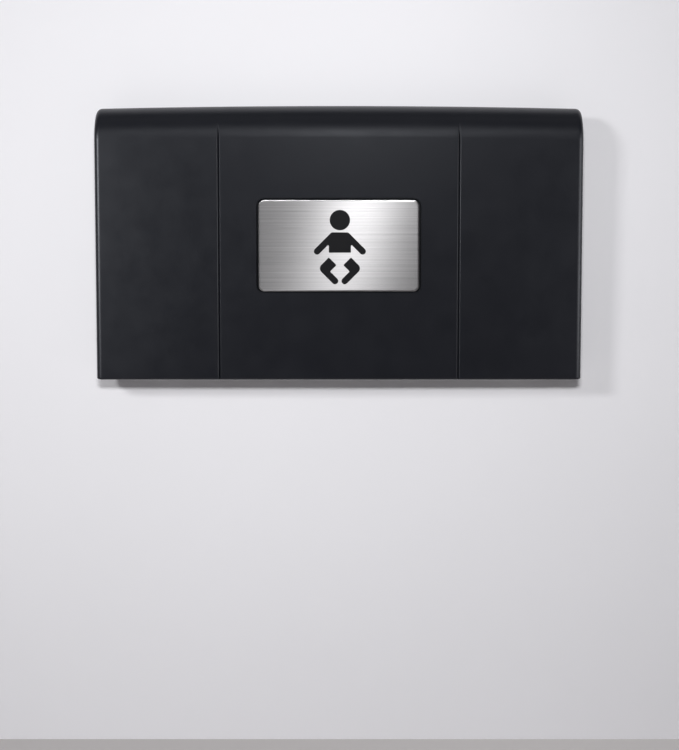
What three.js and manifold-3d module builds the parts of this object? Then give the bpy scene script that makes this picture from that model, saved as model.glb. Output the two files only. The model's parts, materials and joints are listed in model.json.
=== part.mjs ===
// A wall-mounted baby changing station, folded shut: a moulded bed that hinges down from a wall unit.
// Frame: X to the right, the front faces -Y, Z is up, and the wall is the plane y = 0. Millimetres.

import * as THREE from 'three';
import { mergeVertices } from 'three/addons/utils/BufferGeometryUtils.js';
import Module from 'manifold-3d';

// Overall sizes of the folded station
const HEIGHT = 510;
const WIDTH_TOP = 900;
const SIDE_TAPER = 8;
const DEPTH_TOP = 104;
const DEPTH_BOTTOM = 92;
const FRONT_BOW = 5;
const TOP_CROWN = 5;

// Bed cover: the moulding with the rolled top
const COVER_WALL = 3.5;
const ROLL_HEIGHT = 66;
const ROLL_AXIS_FROM_BED = 14;
const EDGE_RADIUS = 10;
const BOTTOM_RADIUS = 4;
const SHARPEST_CORNER = 0.5;
const GROOVE_SPACING = 442;
const GROOVE_WIDTH = 5;
const GROOVE_SIDE = 0.8;
const GROOVE_DEPTH = 2.5;
const GROOVE_RUN_OUT = 50;
const GROOVE_START_ABOVE_ROLL_AXIS = 21;
const BOSS_RADIUS = 7;
const BOSS_HOLE_RADIUS = 2;
const BOSS_HOLE_DEPTH = 14;
const BOSS_FROM_EDGE = 25;
const BOSS_ROW_SPACING = 150;

// Sign plate and its recess
const PLATE_WIDTH = 295;
const PLATE_HEIGHT = 167;
const PLATE_RADIUS = 11;
const PLATE_THICKNESS = 2.4;
const PLATE_EDGE = 0.8;
const PLATE_GAP = 2.5;
const PLATE_CENTRE_Z = -10;
const RECESS_DEPTH = 3;
const RECESS_LAND = 8;

// Bed tray: the basin on the inner side of the bed
const TRAY_WALL = 3;
const BASIN_DEPTH = 32;
const BASIN_FILLET = 28;
const BASIN_CORNER = 60;
const BASIN_SIDE_MARGIN = 55;
const BASIN_LIP_MARGIN = 32;
const BASIN_HINGE_MARGIN = 89;
const BASIN_DRAFT = THREE.MathUtils.degToRad(12);

// Wall unit
const PLATE_STEEL = 3;
const WALL_PLATE_SIDE_MARGIN = 40;
const WALL_PLATE_TOP_MARGIN = 54;
const WALL_PLATE_FOOT_MARGIN = 2;
const STUD_SPACING = 406.4;
const SCREW_ROW_SPACING = 300;
const SCREW_SLOT_LENGTH = 24;
const SCREW_SLOT_RADIUS = 4.5;
const ACCESS_HOLE_RADIUS = 18;
const PAN_DEPTH = 38;
const PAN_SIDE_MARGIN = 10;
const PAN_WALL = 3;
const PAN_CORNER = 14;
const PAN_TOP_MARGIN = 8;
const CLOSED_GAP = 2;
const SHELL_BOLT_RADIUS = 4;
const SHELL_BOLT_FROM_PLATE_EDGE = 100;
const SHELL_BOLT_SPACING_Z = 240;
const BOLT_HEAD_RADIUS = 8;
const BOLT_HEAD_HEIGHT = 5;
const WASHER_RADIUS = 10;
const WASHER_HEIGHT = 1.5;
const POST_RADIUS = 9;
const POST_FROM_EDGE = 36;
const BUMPER_HEIGHT = 3.4;
const BUMPER_SEAT_DEPTH = 2;
const BUMPER_DOME = [[1, 0.55], [0.8, 0.9], [0.5, 1]];
const BUMPER_FROM_DAMPER = 48.5;

// Liner pocket and bag hooks
const POCKET_WIDTH = 330;
const POCKET_HEIGHT = 155;
const POCKET_DEPTH = 26;
const POCKET_WALL = 2.5;
const POCKET_CORNER = 12;
const POCKET_FOOT_Z = 60;
const NOTCH_WIDTH = 120;
const NOTCH_DEPTH = 80;
const NOTCH_CORNER = 36;
const HOOK_FROM_PAN_EDGE = 80;
const HOOK_WIDTH = 18;
const HOOK_STEEL = 5;
const HOOK_GAP = 17;
const HOOK_BACK = 57;
const HOOK_TIP = 14;
const HOOK_BOWL_Z = 38;

// Hinges
const HINGE_BACKSET = 20;
const HINGE_RISE = 18;
const HINGE_FROM_END = 120;
const PIN_RADIUS = 5;
const PIN_HEAD_RADIUS = 8.5;
const PIN_HEAD_HEIGHT = 3;
const PIN_TAIL = 5;
const CLIP_THICKNESS = 1.2;
const CLIP_RADIUS = 8;
const CLIP_GROOVE = 1;
const CLIP_MOUTH_SHARE = 0.8;
const BUSH_WALL = 2.2;
const BRACKET_STEEL = 4;
const BRACKET_GAP = 26;
const EAR_RADIUS = 10;
const ARM_THICKNESS = 10;
const ARM_EYE_RADIUS = 11;
const ARM_NECK = 8.8;
const ARM_HAUNCH = 11;
const ARM_CLEARANCE = 1;
const ARM_LEG_WIDTH = 12;
const ARM_TAB_LENGTH = 42;
const ARM_TAB_THICKNESS = 4;
const ARM_TAB_HEIGHT = 20;
const TOE_WIDTH = 10;
const TOE_OFFSET = 2;

// Beam inside the bed
const BEAM_HEIGHT = 30;
const BEAM_DEPTH = 18;
const BEAM_STEEL = 2;
const BEAM_CENTRE_ABOVE_HINGE = 41;
const BEAM_STANDOFF = 6;
const BEAM_POST_FROM_HINGE = 90;
const BEAM_POST_PAIRS = 2;

// Damper: both pivots lie on one circle about the hinge, so it turns half as far as the bed
const DAMPER_FROM_PAN_EDGE = 55;
const DAMPER_CIRCLE = 58;
const DAMPER_UPPER_ANGLE = THREE.MathUtils.degToRad(-5);
const DAMPER_LOWER_ANGLE = THREE.MathUtils.degToRad(76);
const DAMPER_TUBE_RADIUS = 7.5;
const DAMPER_TUBE_WALL = 1.2;
const DAMPER_TUBE_LENGTH = 57;
const DAMPER_EYE_RADIUS = 7;
const DAMPER_EYE_WIDTH = 15;
const DAMPER_ROD_RADIUS = 3;
const DAMPER_SHANK = 8;
const DAMPER_PLUG = 3;
const DAMPER_CAP_RISE = 4.2;
const GLAND_DEPTH = 4;
const GLAND_LIP = 1.5;
const GLAND_CHAMFER = 1;
const PISTON_HEIGHT = 6;
const PISTON_NECK_RADIUS = 2;
const PISTON_END_GAP = 1;
const STUD_RADIUS = 3.5;
const STUD_HEAD_RADIUS = 6;
const STUD_HEAD_HEIGHT = 2.5;
const LUG_STEEL = 4;
const LUG_FOOT_WIDTH = 30;
const LUG_FOOT_MARGIN = 4;
const LUG_FOOT_TAIL = 10;
const DAMPER_SLOT_SIDE = 3;

// Strap and buckle
const STRAP_WIDTH = 40;
const STRAP_THICKNESS = 1.6;
const STRAP_FOLD = 46;
const STRAP_TAIL = 62;
const STRAP_DROP = 16;
const STRAP_SLOPE = 12;
const STRAP_STEP = 8;
const ANCHOR_FROM_BASIN = 47;
const ANCHOR_WIRE = 2.5;
const ANCHOR_FOOT = 14;
const ANCHOR_BRIDGE_RISE = 8;
const ANCHOR_DEPTH = 10;
const BUCKLE_CENTRE_Z = 20;
const BUCKLE_LENGTH = 44;
const BUCKLE_CHEEK = 3;
const BUCKLE_CHEEK_HEIGHT = 17;
const BUCKLE_BASE_RISE = 2.4;
const BUCKLE_BAR = 4;
const BUCKLE_SLOT = 7;
const BUCKLE_STEEL = 1.6;
const LEVER_LENGTH = 44;
const LEVER_HUB_RADIUS = 4.6;
const LEVER_PIN_RADIUS = 2;
const LEVER_PIN_RISE = 12.5;
const LEVER_PIN_FROM_END = 12;
const LEVER_TIP_THICKNESS = 3.5;
const LEVER_CAM_FLAT = 3;
const LEVER_CAM_BACK = 6;

// Running clearance between pieces that touch on the real object
const FIT = 0.3;

// How far a cutting tool runs past the face that it cuts
const PAST = 1;

// Points closer than this are one point
const MERGE = 1e-4;

// Steps and places of the rings that make up the curved skins
const END_STEPS = 4;
const HOLLOW_END_STEPS = 2;
const BOTTOM_STEPS = 3;
const ROLL_STEPS = 13;
const FRONT_SHARES = [0.2, 0.5, 0.8, 1];
const RUN_OUT_SHARES = [0.25, 0.5, 0.75];
const BASIN_CORNER_STEPS = 5;
const BASIN_FILLET_STEPS = 6;
const FOLD_STEPS = 6;

// Widths, planes and axes that follow from the sizes
const WIDTH_BOTTOM = WIDTH_TOP - SIDE_TAPER;
const PAN_WIDTH = WIDTH_TOP - 2 * PAN_SIDE_MARGIN;
const WALL_PLATE_WIDTH = PAN_WIDTH - 2 * WALL_PLATE_SIDE_MARGIN;
const SHELL_BOLT_SPACING_X = WALL_PLATE_WIDTH - 2 * SHELL_BOLT_FROM_PLATE_EDGE;
const HOOK_SPACING = PAN_WIDTH - 2 * HOOK_FROM_PAN_EDGE;
const HINGE_SPACING = WIDTH_TOP - 2 * HINGE_FROM_END;
const DAMPER_X = PAN_WIDTH / 2 - DAMPER_FROM_PAN_EDGE;
const BEAM_POST_SPACING = (HINGE_SPACING / 2 - BEAM_POST_FROM_HINGE) / BEAM_POST_PAIRS;
const Z_TOP = HEIGHT / 2;
const Z_BOTTOM = -HEIGHT / 2;
const Y_BED = -(PAN_DEPTH + CLOSED_GAP);
const Y_TRAY_BACK = Y_BED - TRAY_WALL;
const Y_COVER_REAR = Y_TRAY_BACK - FIT;
const Y_SHELL_BACK = -(PLATE_STEEL + FIT);
const Y_SHELL_FACE = Y_SHELL_BACK - PAN_WALL;
const HINGE = { y: -HINGE_BACKSET, z: Z_BOTTOM + HINGE_RISE };
const PAN_BOTTOM = HINGE.z + ARM_EYE_RADIUS + ARM_CLEARANCE;
const PAN_TOP = Z_TOP - PAN_TOP_MARGIN;
const ROLL = { y: Y_BED - ROLL_AXIS_FROM_BED, z: Z_TOP - ROLL_HEIGHT };
const ROLL_DEPTH = DEPTH_TOP + ROLL.y;
const ROLL_STRETCH = ROLL_HEIGHT / ROLL_DEPTH;
const TOUCH = rollTouch();
const LEAN = Math.atan(Math.tan(TOUCH) / ROLL_STRETCH);
const WEB_FACE = Y_SHELL_BACK - BRACKET_STEEL;
const BASIN = {
  left: -WIDTH_TOP / 2 + BASIN_SIDE_MARGIN,
  right: WIDTH_TOP / 2 - BASIN_SIDE_MARGIN,
  low: Z_BOTTOM + BASIN_HINGE_MARGIN,
  high: Z_TOP - BASIN_LIP_MARGIN,
  floor: Y_BED - BASIN_DEPTH,
};
const PIN_BORE = PIN_RADIUS + FIT;
const BUSH_RADIUS = PIN_BORE + BUSH_WALL;

const wasm = await Module();
wasm.setup();

// Finishes
const charcoal = new THREE.MeshStandardMaterial({ color: 0x2b2c30, roughness: 0.45, metalness: 0 });
const charcoalInner = new THREE.MeshStandardMaterial({ color: 0x36373b, roughness: 0.55, metalness: 0 });
const brushedSteel = new THREE.MeshStandardMaterial({ color: 0xc4c5c8, roughness: 0.3, metalness: 1 });
const zincSteel = new THREE.MeshStandardMaterial({ color: 0x9a9da1, roughness: 0.42, metalness: 1 });
const blackSteel = new THREE.MeshStandardMaterial({ color: 0x1e1f21, roughness: 0.5, metalness: 0.4 });
const rubber = new THREE.MeshStandardMaterial({ color: 0x1a1a1b, roughness: 0.85, metalness: 0 });
const webbing = new THREE.MeshStandardMaterial({ color: 0x202124, roughness: 0.9, metalness: 0 });
const nylon = new THREE.MeshStandardMaterial({ color: 0xd9d6cc, roughness: 0.6, metalness: 0 });

// The angle on the oval roll where the front touches it, on the line that meets the bottom edge
function rollTouch() {
  const back = ROLL.y + DEPTH_BOTTOM;
  const up = (ROLL.z - Z_BOTTOM) / ROLL_STRETCH;
  return Math.asin(ROLL_DEPTH / Math.hypot(back, up)) - Math.atan2(back, up);
}

// A three.js geometry as a solid that can be joined and cut
function solid(geometry) {
  const bare = geometry.clone();
  bare.deleteAttribute('normal');
  bare.deleteAttribute('uv');
  const merged = mergeVertices(bare, MERGE);
  return new wasm.Manifold(new wasm.Mesh({
    numProp: 3,
    vertProperties: Float32Array.from(merged.attributes.position.array),
    triVerts: Uint32Array.from(merged.index.array),
  }));
}

// A solid back as a three.js geometry
function geometryOf(body) {
  const mesh = body.getMesh();
  const geometry = new THREE.BufferGeometry();
  geometry.setAttribute('position', new THREE.BufferAttribute(Float32Array.from(mesh.vertProperties), 3));
  geometry.setIndex(Array.from(mesh.triVerts));
  return geometry;
}

// One geometry with others added to it
function join(geometry, ...others) {
  return geometryOf(others.reduce((body, other) => body.add(solid(other)), solid(geometry)));
}

// One geometry with others taken out of it
function cut(geometry, ...tools) {
  return geometryOf(tools.reduce((body, tool) => body.subtract(solid(tool)), solid(geometry)));
}

// A profile of (y, z) points or curves, extruded from x0 to x1
function alongX(shape, x0, x1, curveSegments = 8) {
  const geometry = new THREE.ExtrudeGeometry(shape, { depth: x1 - x0, bevelEnabled: false, curveSegments });
  const axes = new THREE.Matrix4().makeBasis(
    new THREE.Vector3(0, 1, 0), new THREE.Vector3(0, 0, 1), new THREE.Vector3(1, 0, 0));
  return geometry.applyMatrix4(axes).translate(x0, 0, 0);
}

// A profile of (x, z) points or curves, extruded forwards from y = back to y = front
function alongY(shape, back, front, options = {}) {
  const geometry = new THREE.ExtrudeGeometry(
    shape, { depth: back - front, bevelEnabled: false, curveSegments: 6, ...options });
  const axes = new THREE.Matrix4().makeBasis(
    new THREE.Vector3(1, 0, 0), new THREE.Vector3(0, 0, 1), new THREE.Vector3(0, -1, 0));
  return geometry.applyMatrix4(axes).translate(0, back, 0);
}

// A profile of (x, y) points or curves, extruded upwards from z0 to z1
function alongZ(shape, z0, z1) {
  const options = { depth: z1 - z0, bevelEnabled: false, curveSegments: 6 };
  return new THREE.ExtrudeGeometry(shape, options).translate(0, 0, z0);
}

function rectangle(u0, v0, u1, v1) {
  return polygon([[u0, v0], [u1, v0], [u1, v1], [u0, v1]]);
}

function polygon(points) {
  return new THREE.Shape(points.map(([u, v]) => new THREE.Vector2(u, v)));
}

function roundedRectangle(u0, v0, u1, v1, radius) {
  const shape = new THREE.Shape();
  shape.absarc(u1 - radius, v0 + radius, radius, -Math.PI / 2, 0);
  shape.absarc(u1 - radius, v1 - radius, radius, 0, Math.PI / 2);
  shape.absarc(u0 + radius, v1 - radius, radius, Math.PI / 2, Math.PI);
  shape.absarc(u0 + radius, v0 + radius, radius, Math.PI, 1.5 * Math.PI);
  return shape;
}

function disc(u, v, radius) {
  return new THREE.Shape().absarc(u, v, radius, 0, 2 * Math.PI);
}

// A round bar along X
function barX(radius, x0, x1, y, z, sides = 20) {
  const geometry = new THREE.CylinderGeometry(radius, radius, x1 - x0, sides);
  return geometry.rotateZ(-Math.PI / 2).translate((x0 + x1) / 2, y, z);
}

// A round bar along Y, from back to front
function barY(radius, back, front, x, z, sides = 20) {
  const geometry = new THREE.CylinderGeometry(radius, radius, back - front, sides);
  return geometry.translate(x, (back + front) / 2, z);
}

// A turned piece about X from [radius, x] points, open or closed on the axis
function turnedX(points, sides = 20) {
  const profile = points.map(([radius, along]) => new THREE.Vector2(radius, along));
  return facingOut(new THREE.LatheGeometry(profile, sides).rotateZ(-Math.PI / 2));
}

// A turned piece about Z from [radius, z] points
function turnedZ(points, sides = 20) {
  const profile = points.map(([radius, along]) => new THREE.Vector2(radius, along));
  return facingOut(new THREE.LatheGeometry(profile, sides).rotateX(Math.PI / 2));
}

// A turned piece about Y from [radius, y] points
function turnedY(points, sides = 20) {
  const profile = points.map(([radius, along]) => new THREE.Vector2(radius, along));
  return facingOut(new THREE.LatheGeometry(profile, sides));
}

// The same closed geometry with its faces turned outwards and no doubled points
function facingOut(geometry) {
  const bare = geometry.clone();
  bare.deleteAttribute('normal');
  bare.deleteAttribute('uv');
  const merged = mergeVertices(bare, MERGE);
  const point = merged.attributes.position;
  const corners = [new THREE.Vector3(), new THREE.Vector3(), new THREE.Vector3()];
  const faces = [];
  let volume = 0;
  for (let i = 0; i < merged.index.count; i += 3) {
    const face = [0, 1, 2].map((k) => merged.index.getX(i + k));
    if (new Set(face).size < 3) continue;
    face.forEach((index, k) => corners[k].fromBufferAttribute(point, index));
    volume += corners[0].dot(corners[1].clone().cross(corners[2]));
    faces.push(face);
  }
  merged.setIndex(faces.flatMap(([a, b, c]) => (volume > 0 ? [a, b, c] : [a, c, b])));
  return merged;
}

// A skin through closed rings of points, with both ends capped flat across the axes u and v
function loft(rings, u, v) {
  const count = rings[0].length;
  const points = rings.flat();
  const faces = [];
  for (let i = 0; i + 1 < rings.length; i += 1) {
    for (let j = 0; j < count; j += 1) {
      const next = (j + 1) % count;
      const [a, b] = [i * count + j, (i + 1) * count + j];
      const [c, d] = [(i + 1) * count + next, i * count + next];
      faces.push(a, b, c, a, c, d);
    }
  }
  const capFaces = (ring, offset, reversed) => {
    const flat = ring.map((point) => new THREE.Vector2(point[u], point[v]));
    const turn = Math.sign(THREE.ShapeUtils.area(flat)) * (reversed ? -1 : 1);
    const triangles = THREE.ShapeUtils.triangulateShape(flat, []);
    const areas = triangles.map((corners) => THREE.ShapeUtils.area(corners.map((k) => flat[k])));
    const same = Math.sign(areas.reduce((sum, area) => sum + area, 0)) === turn;
    for (const [a, b, c] of triangles) {
      faces.push(offset + a, offset + (same ? b : c), offset + (same ? c : b));
    }
  };
  capFaces(rings[0], 0, false);
  capFaces(rings.at(-1), points.length - count, true);
  const geometry = new THREE.BufferGeometry().setFromPoints(points);
  geometry.setIndex(faces);
  return facingOut(geometry);
}

// The outline of a band of even thickness that follows a path of [u, v] points
function band(path, thickness) {
  const points = path.map(([u, v]) => new THREE.Vector2(u, v));
  const side = (sign) => points.map((point, i) => {
    const before = points[Math.max(i - 1, 0)];
    const after = points[Math.min(i + 1, points.length - 1)];
    const into = (i === 0 ? after : point).clone().sub(i === 0 ? point : before).normalize();
    const out = (i === points.length - 1 ? point : after).clone();
    out.sub(i === points.length - 1 ? before : point).normalize();
    const along = into.clone().add(out).normalize();
    const stretch = 1 / Math.max(along.dot(into), 0.5);
    const normal = new THREE.Vector2(-along.y, along.x);
    return point.clone().addScaledVector(normal, sign * stretch * thickness / 2);
  });
  return new THREE.Shape([...side(1), ...side(-1).reverse()]);
}

// Points of an arc about (u, v), from one angle to another; a second radius makes it oval
function arc(u, v, radius, from, to, steps, rise = radius) {
  return Array.from({ length: steps + 1 }, (_, i) => {
    const angle = from + ((to - from) * i) / steps;
    return [u + radius * Math.cos(angle), v + rise * Math.sin(angle)];
  });
}

function named(parent, name, geometry, material) {
  const mesh = new THREE.Mesh(geometry, material);
  mesh.name = name;
  parent.add(mesh);
  return mesh;
}

// The y of the bed's flat front at a height, on the centre line, set in by a depth
function frontLine(z, inset) {
  return ROLL.y - (ROLL_DEPTH - inset) / Math.cos(TOUCH) - (z - ROLL.z) * Math.tan(LEAN);
}

// A point of the straight section, moved to its place on the bowed, crowned and tapered bed
function onBed(x, y, z) {
  const across = (x / (WIDTH_TOP / 2)) ** 2;
  const rise = (z - Z_BOTTOM) / HEIGHT;
  const forward = (Y_BED - y) / (DEPTH_TOP + Y_BED);
  const narrowing = (WIDTH_BOTTOM + (WIDTH_TOP - WIDTH_BOTTOM) * rise) / WIDTH_TOP;
  return new THREE.Vector3(x * narrowing, y + FRONT_BOW * across * forward, z - TOP_CROWN * across * rise);
}

// The bed's section, from the rear at the bottom round the front and the roll to the rear at the top
function coverSection(inset, bottomInset, rear) {
  const radius = ROLL_DEPTH - inset;
  const rise = ROLL_HEIGHT - inset;
  const corner = Math.max(BOTTOM_RADIUS - bottomInset, SHARPEST_CORNER);
  const foot = Z_BOTTOM + bottomInset;
  const cornerCentre = { y: frontLine(foot + corner, inset + corner), z: foot + corner };
  const frontAngle = Math.PI + TOUCH;
  const rearAngle = Math.acos((Y_COVER_REAR - ROLL.y) / radius);
  const tangent = ROLL.z - rise * Math.sin(TOUCH);
  const top = ROLL.z + rise * Math.sin(rearAngle);
  const grooveFull = ROLL.z + GROOVE_START_ABOVE_ROLL_AXIS - GROOVE_RUN_OUT;
  const heights = FRONT_SHARES.map((share) => foot + corner + (grooveFull - foot - corner) * share);
  const runOut = RUN_OUT_SHARES.map((share) => grooveFull + (tangent - grooveFull) * share);
  return [
    [rear, foot],
    ...arc(cornerCentre.y, cornerCentre.z, corner, 1.5 * Math.PI, Math.PI + LEAN, BOTTOM_STEPS),
    ...[...heights, ...runOut].map((z) => [frontLine(z, inset), z]),
    ...arc(ROLL.y, ROLL.z, radius, frontAngle, rearAngle, ROLL_STEPS, rise).slice(0, -1),
    [Y_COVER_REAR, top],
    ...(rear > Y_COVER_REAR ? [[rear, top]] : []),
  ];
}

// How deep a groove lies at a height: none on the roll, full depth below the run-out
function grooveShare(z) {
  const start = ROLL.z + GROOVE_START_ABOVE_ROLL_AXIS;
  return THREE.MathUtils.clamp((start - z) / GROOVE_RUN_OUT, 0, 1);
}

// One ring of the bed's skin at x, with its front pressed in by a groove
function coverRing(x, inset, bottomInset, groove, rear) {
  const front = Y_COVER_REAR - BOTTOM_RADIUS;
  return coverSection(inset, bottomInset, rear).map(([y, z]) => {
    const pressed = y < front - COVER_WALL ? groove * GROOVE_DEPTH * grooveShare(z) : 0;
    return onBed(x, y + pressed, z);
  });
}

// The rounded ends of the bed: how far each ring lies from the middle and how far it is set in
function endRings(halfWidth, radius, bottomRadius, steps) {
  return Array.from({ length: steps + 1 }, (_, i) => {
    const turn = (Math.PI / 2) * (i / steps);
    const share = 1 - Math.cos(turn);
    const x = halfWidth - radius + radius * Math.sin(turn);
    return { x, inset: radius * share, bottomInset: bottomRadius * share };
  });
}

// The bed's whole outer form, with its rounded ends and two grooves
function coverOuter() {
  const ends = endRings(WIDTH_TOP / 2, EDGE_RADIUS, BOTTOM_RADIUS, END_STEPS);
  const grooveMiddle = GROOVE_SPACING / 2;
  const half = GROOVE_WIDTH / 2;
  const floor = half - GROOVE_SIDE;
  const rings = [];
  for (const side of [-1, 1]) {
    ends.forEach(({ x, inset, bottomInset }) => rings.push({ x: side * x, inset, bottomInset, groove: 0 }));
    for (const [offset, groove] of [[half, 0], [floor, 1], [-floor, 1], [-half, 0]]) {
      rings.push({ x: side * (grooveMiddle + offset), inset: 0, bottomInset: 0, groove });
    }
    const panel = (grooveMiddle + WIDTH_TOP / 2) / 2;
    rings.push({ x: side * panel, inset: 0, bottomInset: 0, groove: 0 });
    rings.push({ x: (side * grooveMiddle) / 2, inset: 0, bottomInset: 0, groove: 0 });
  }
  rings.push({ x: 0, inset: 0, bottomInset: 0, groove: 0 });
  rings.sort((a, b) => a.x - b.x);
  const rear = Y_COVER_REAR;
  return loft(rings.map((r) => coverRing(r.x, r.inset, r.bottomInset, r.groove, rear)), 'y', 'z');
}

// The hollow inside the bed cover, open at the rear
function coverHollow() {
  const radius = EDGE_RADIUS - COVER_WALL;
  const ends = endRings(WIDTH_TOP / 2 - COVER_WALL, radius, radius, HOLLOW_END_STEPS);
  const places = ends.map(({ x, inset }) => ({ x, inset: inset + COVER_WALL }));
  const middle = [0.5, 0].map((share) => ({ x: (share * WIDTH_TOP) / 2, inset: COVER_WALL }));
  const right = [...middle.reverse(), ...places];
  const left = [...middle.slice(1), ...places].map(({ x, inset }) => ({ x: -x, inset })).reverse();
  const rear = Y_COVER_REAR + COVER_WALL;
  return loft([...left, ...right].map((r) => coverRing(r.x, r.inset, r.inset, 0, rear)), 'y', 'z');
}

// Places of the screw bosses that join the tray to the cover
function bossPlaces() {
  const x = WIDTH_BOTTOM / 2 - BOSS_FROM_EDGE;
  return [-1, 1].flatMap((side) => [-1, 0, 1].map((row) => ({ x: side * x, z: row * BOSS_ROW_SPACING })));
}

// A piece laid on the bed's front at the plate: its own -Y points out of the face
function onFace(geometry) {
  return geometry.rotateX(LEAN).translate(0, frontLine(PLATE_CENTRE_Z, 0), PLATE_CENTRE_Z);
}

function plateOutline(grow) {
  const [w, h] = [PLATE_WIDTH / 2 + grow, PLATE_HEIGHT / 2 + grow];
  return roundedRectangle(-w, -h, w, h, PLATE_RADIUS + grow);
}

function bedCover() {
  const shell = cut(coverOuter(), coverHollow());
  const bosses = bossPlaces().map(({ x, z }) => {
    const front = onBed(x, frontLine(z, COVER_WALL / 2), z).y;
    return barY(BOSS_RADIUS, Y_COVER_REAR, front, x, z, 12);
  });
  const holes = bossPlaces().map(({ x, z }) => (
    barY(BOSS_HOLE_RADIUS, Y_COVER_REAR + PAST, Y_COVER_REAR - BOSS_HOLE_DEPTH, x, z, 8)));
  const landOutline = plateOutline(PLATE_GAP + RECESS_LAND);
  const land = onFace(alongY(landOutline, RECESS_DEPTH + COVER_WALL, COVER_WALL / 3));
  const recess = onFace(alongY(plateOutline(PLATE_GAP), RECESS_DEPTH, -RECESS_DEPTH));
  return cut(join(shell, land, ...bosses), recess, ...holes);
}

function signPlate() {
  const back = RECESS_DEPTH - FIT - PLATE_EDGE;
  const front = RECESS_DEPTH - FIT - PLATE_THICKNESS + PLATE_EDGE;
  const options = {
    bevelEnabled: true,
    bevelThickness: PLATE_EDGE,
    bevelSize: PLATE_EDGE,
    bevelOffset: -PLATE_EDGE,
    bevelSegments: 2,
  };
  return facingOut(onFace(alongY(plateOutline(0), back, front, options)));
}

// The bed's outline on its rear plane, as the cover has it there
function bedOutline() {
  const ends = endRings(WIDTH_TOP / 2, EDGE_RADIUS, BOTTOM_RADIUS, END_STEPS);
  const topOf = (inset) => coverSection(inset, 0, Y_COVER_REAR).at(-1)[1];
  const corner = ({ x, inset, bottomInset }, side, high) => {
    const place = onBed(side * x, Y_COVER_REAR, high ? topOf(inset) : Z_BOTTOM + bottomInset);
    return [place.x, place.z];
  };
  const crown = [0.5, 0, -0.5].map((share) => {
    const place = onBed((share * WIDTH_TOP) / 2, Y_COVER_REAR, topOf(0));
    return [place.x, place.z];
  });
  return polygon([
    ...ends.map((end) => corner(end, 1, false)),
    ...ends.toReversed().map((end) => corner(end, 1, true)),
    ...crown,
    ...ends.map((end) => corner(end, -1, true)),
    ...ends.toReversed().map((end) => corner(end, -1, false)),
  ]);
}

// One ring of the basin, set in from its rim, at a depth below the bed's rear plane
function basinRing(inset, depth) {
  const shape = roundedRectangle(
    BASIN.left + inset, BASIN.low + inset, BASIN.right - inset, BASIN.high - inset, BASIN_CORNER - inset);
  const outline = shape.getPoints(BASIN_CORNER_STEPS);
  return outline.slice(0, -1).map((point) => new THREE.Vector3(point.x, Y_BED - depth, point.y));
}

// The basin as a solid whose skin lies a thickness outside its inner face
function basinForm(thickness, mouth) {
  const centreDepth = BASIN_DEPTH - BASIN_FILLET;
  const touchDepth = centreDepth + BASIN_FILLET * Math.sin(BASIN_DRAFT);
  const centreInset = touchDepth * Math.tan(BASIN_DRAFT) + BASIN_FILLET * Math.cos(BASIN_DRAFT);
  const mouthInset = mouth * Math.tan(BASIN_DRAFT) - thickness / Math.cos(BASIN_DRAFT);
  const radius = BASIN_FILLET + thickness;
  const [from, to] = [Math.PI - BASIN_DRAFT, Math.PI / 2];
  const fillet = arc(centreInset, centreDepth, radius, from, to, BASIN_FILLET_STEPS);
  return loft([[mouthInset, mouth], ...fillet].map(([inset, depth]) => basinRing(inset, depth)), 'x', 'z');
}

// Places along the beam where the tray's posts stand on it
function beamPosts() {
  const count = 2 * BEAM_POST_PAIRS + 1;
  return Array.from({ length: count }, (_, i) => (i - BEAM_POST_PAIRS) * BEAM_POST_SPACING);
}

// A point on the damper's circle about the hinge, by its angle from upright towards the front
function onDamperCircle(angle) {
  return {
    y: HINGE.y - DAMPER_CIRCLE * Math.sin(angle),
    z: HINGE.z + DAMPER_CIRCLE * Math.cos(angle),
  };
}

const UPPER_PIVOT = onDamperCircle(DAMPER_UPPER_ANGLE);
const LOWER_PIVOT = onDamperCircle(DAMPER_LOWER_ANGLE);
const DAMPER_LENGTH = Math.hypot(LOWER_PIVOT.y - UPPER_PIVOT.y, LOWER_PIVOT.z - UPPER_PIVOT.z);
const DAMPER_TILT = Math.atan2(LOWER_PIVOT.y - UPPER_PIVOT.y, UPPER_PIVOT.z - LOWER_PIVOT.z);
const DAMPER_SLOT_HALF = DAMPER_TUBE_RADIUS + DAMPER_SLOT_SIDE;

// Heights where the damper's centre line crosses the tray, with the bed shut and with it down
function damperCrossings() {
  const level = Y_TRAY_BACK;
  const shutShare = (level - UPPER_PIVOT.y) / (LOWER_PIVOT.y - UPPER_PIVOT.y);
  const shut = UPPER_PIVOT.z + shutShare * (LOWER_PIVOT.z - UPPER_PIVOT.z);
  const upperSeenByBed = { y: HINGE.y + UPPER_PIVOT.z - HINGE.z, z: HINGE.z - UPPER_PIVOT.y + HINGE.y };
  const downShare = (level - upperSeenByBed.y) / (LOWER_PIVOT.y - upperSeenByBed.y);
  const down = upperSeenByBed.z + downShare * (LOWER_PIVOT.z - upperSeenByBed.z);
  return { shut, down };
}

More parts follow.
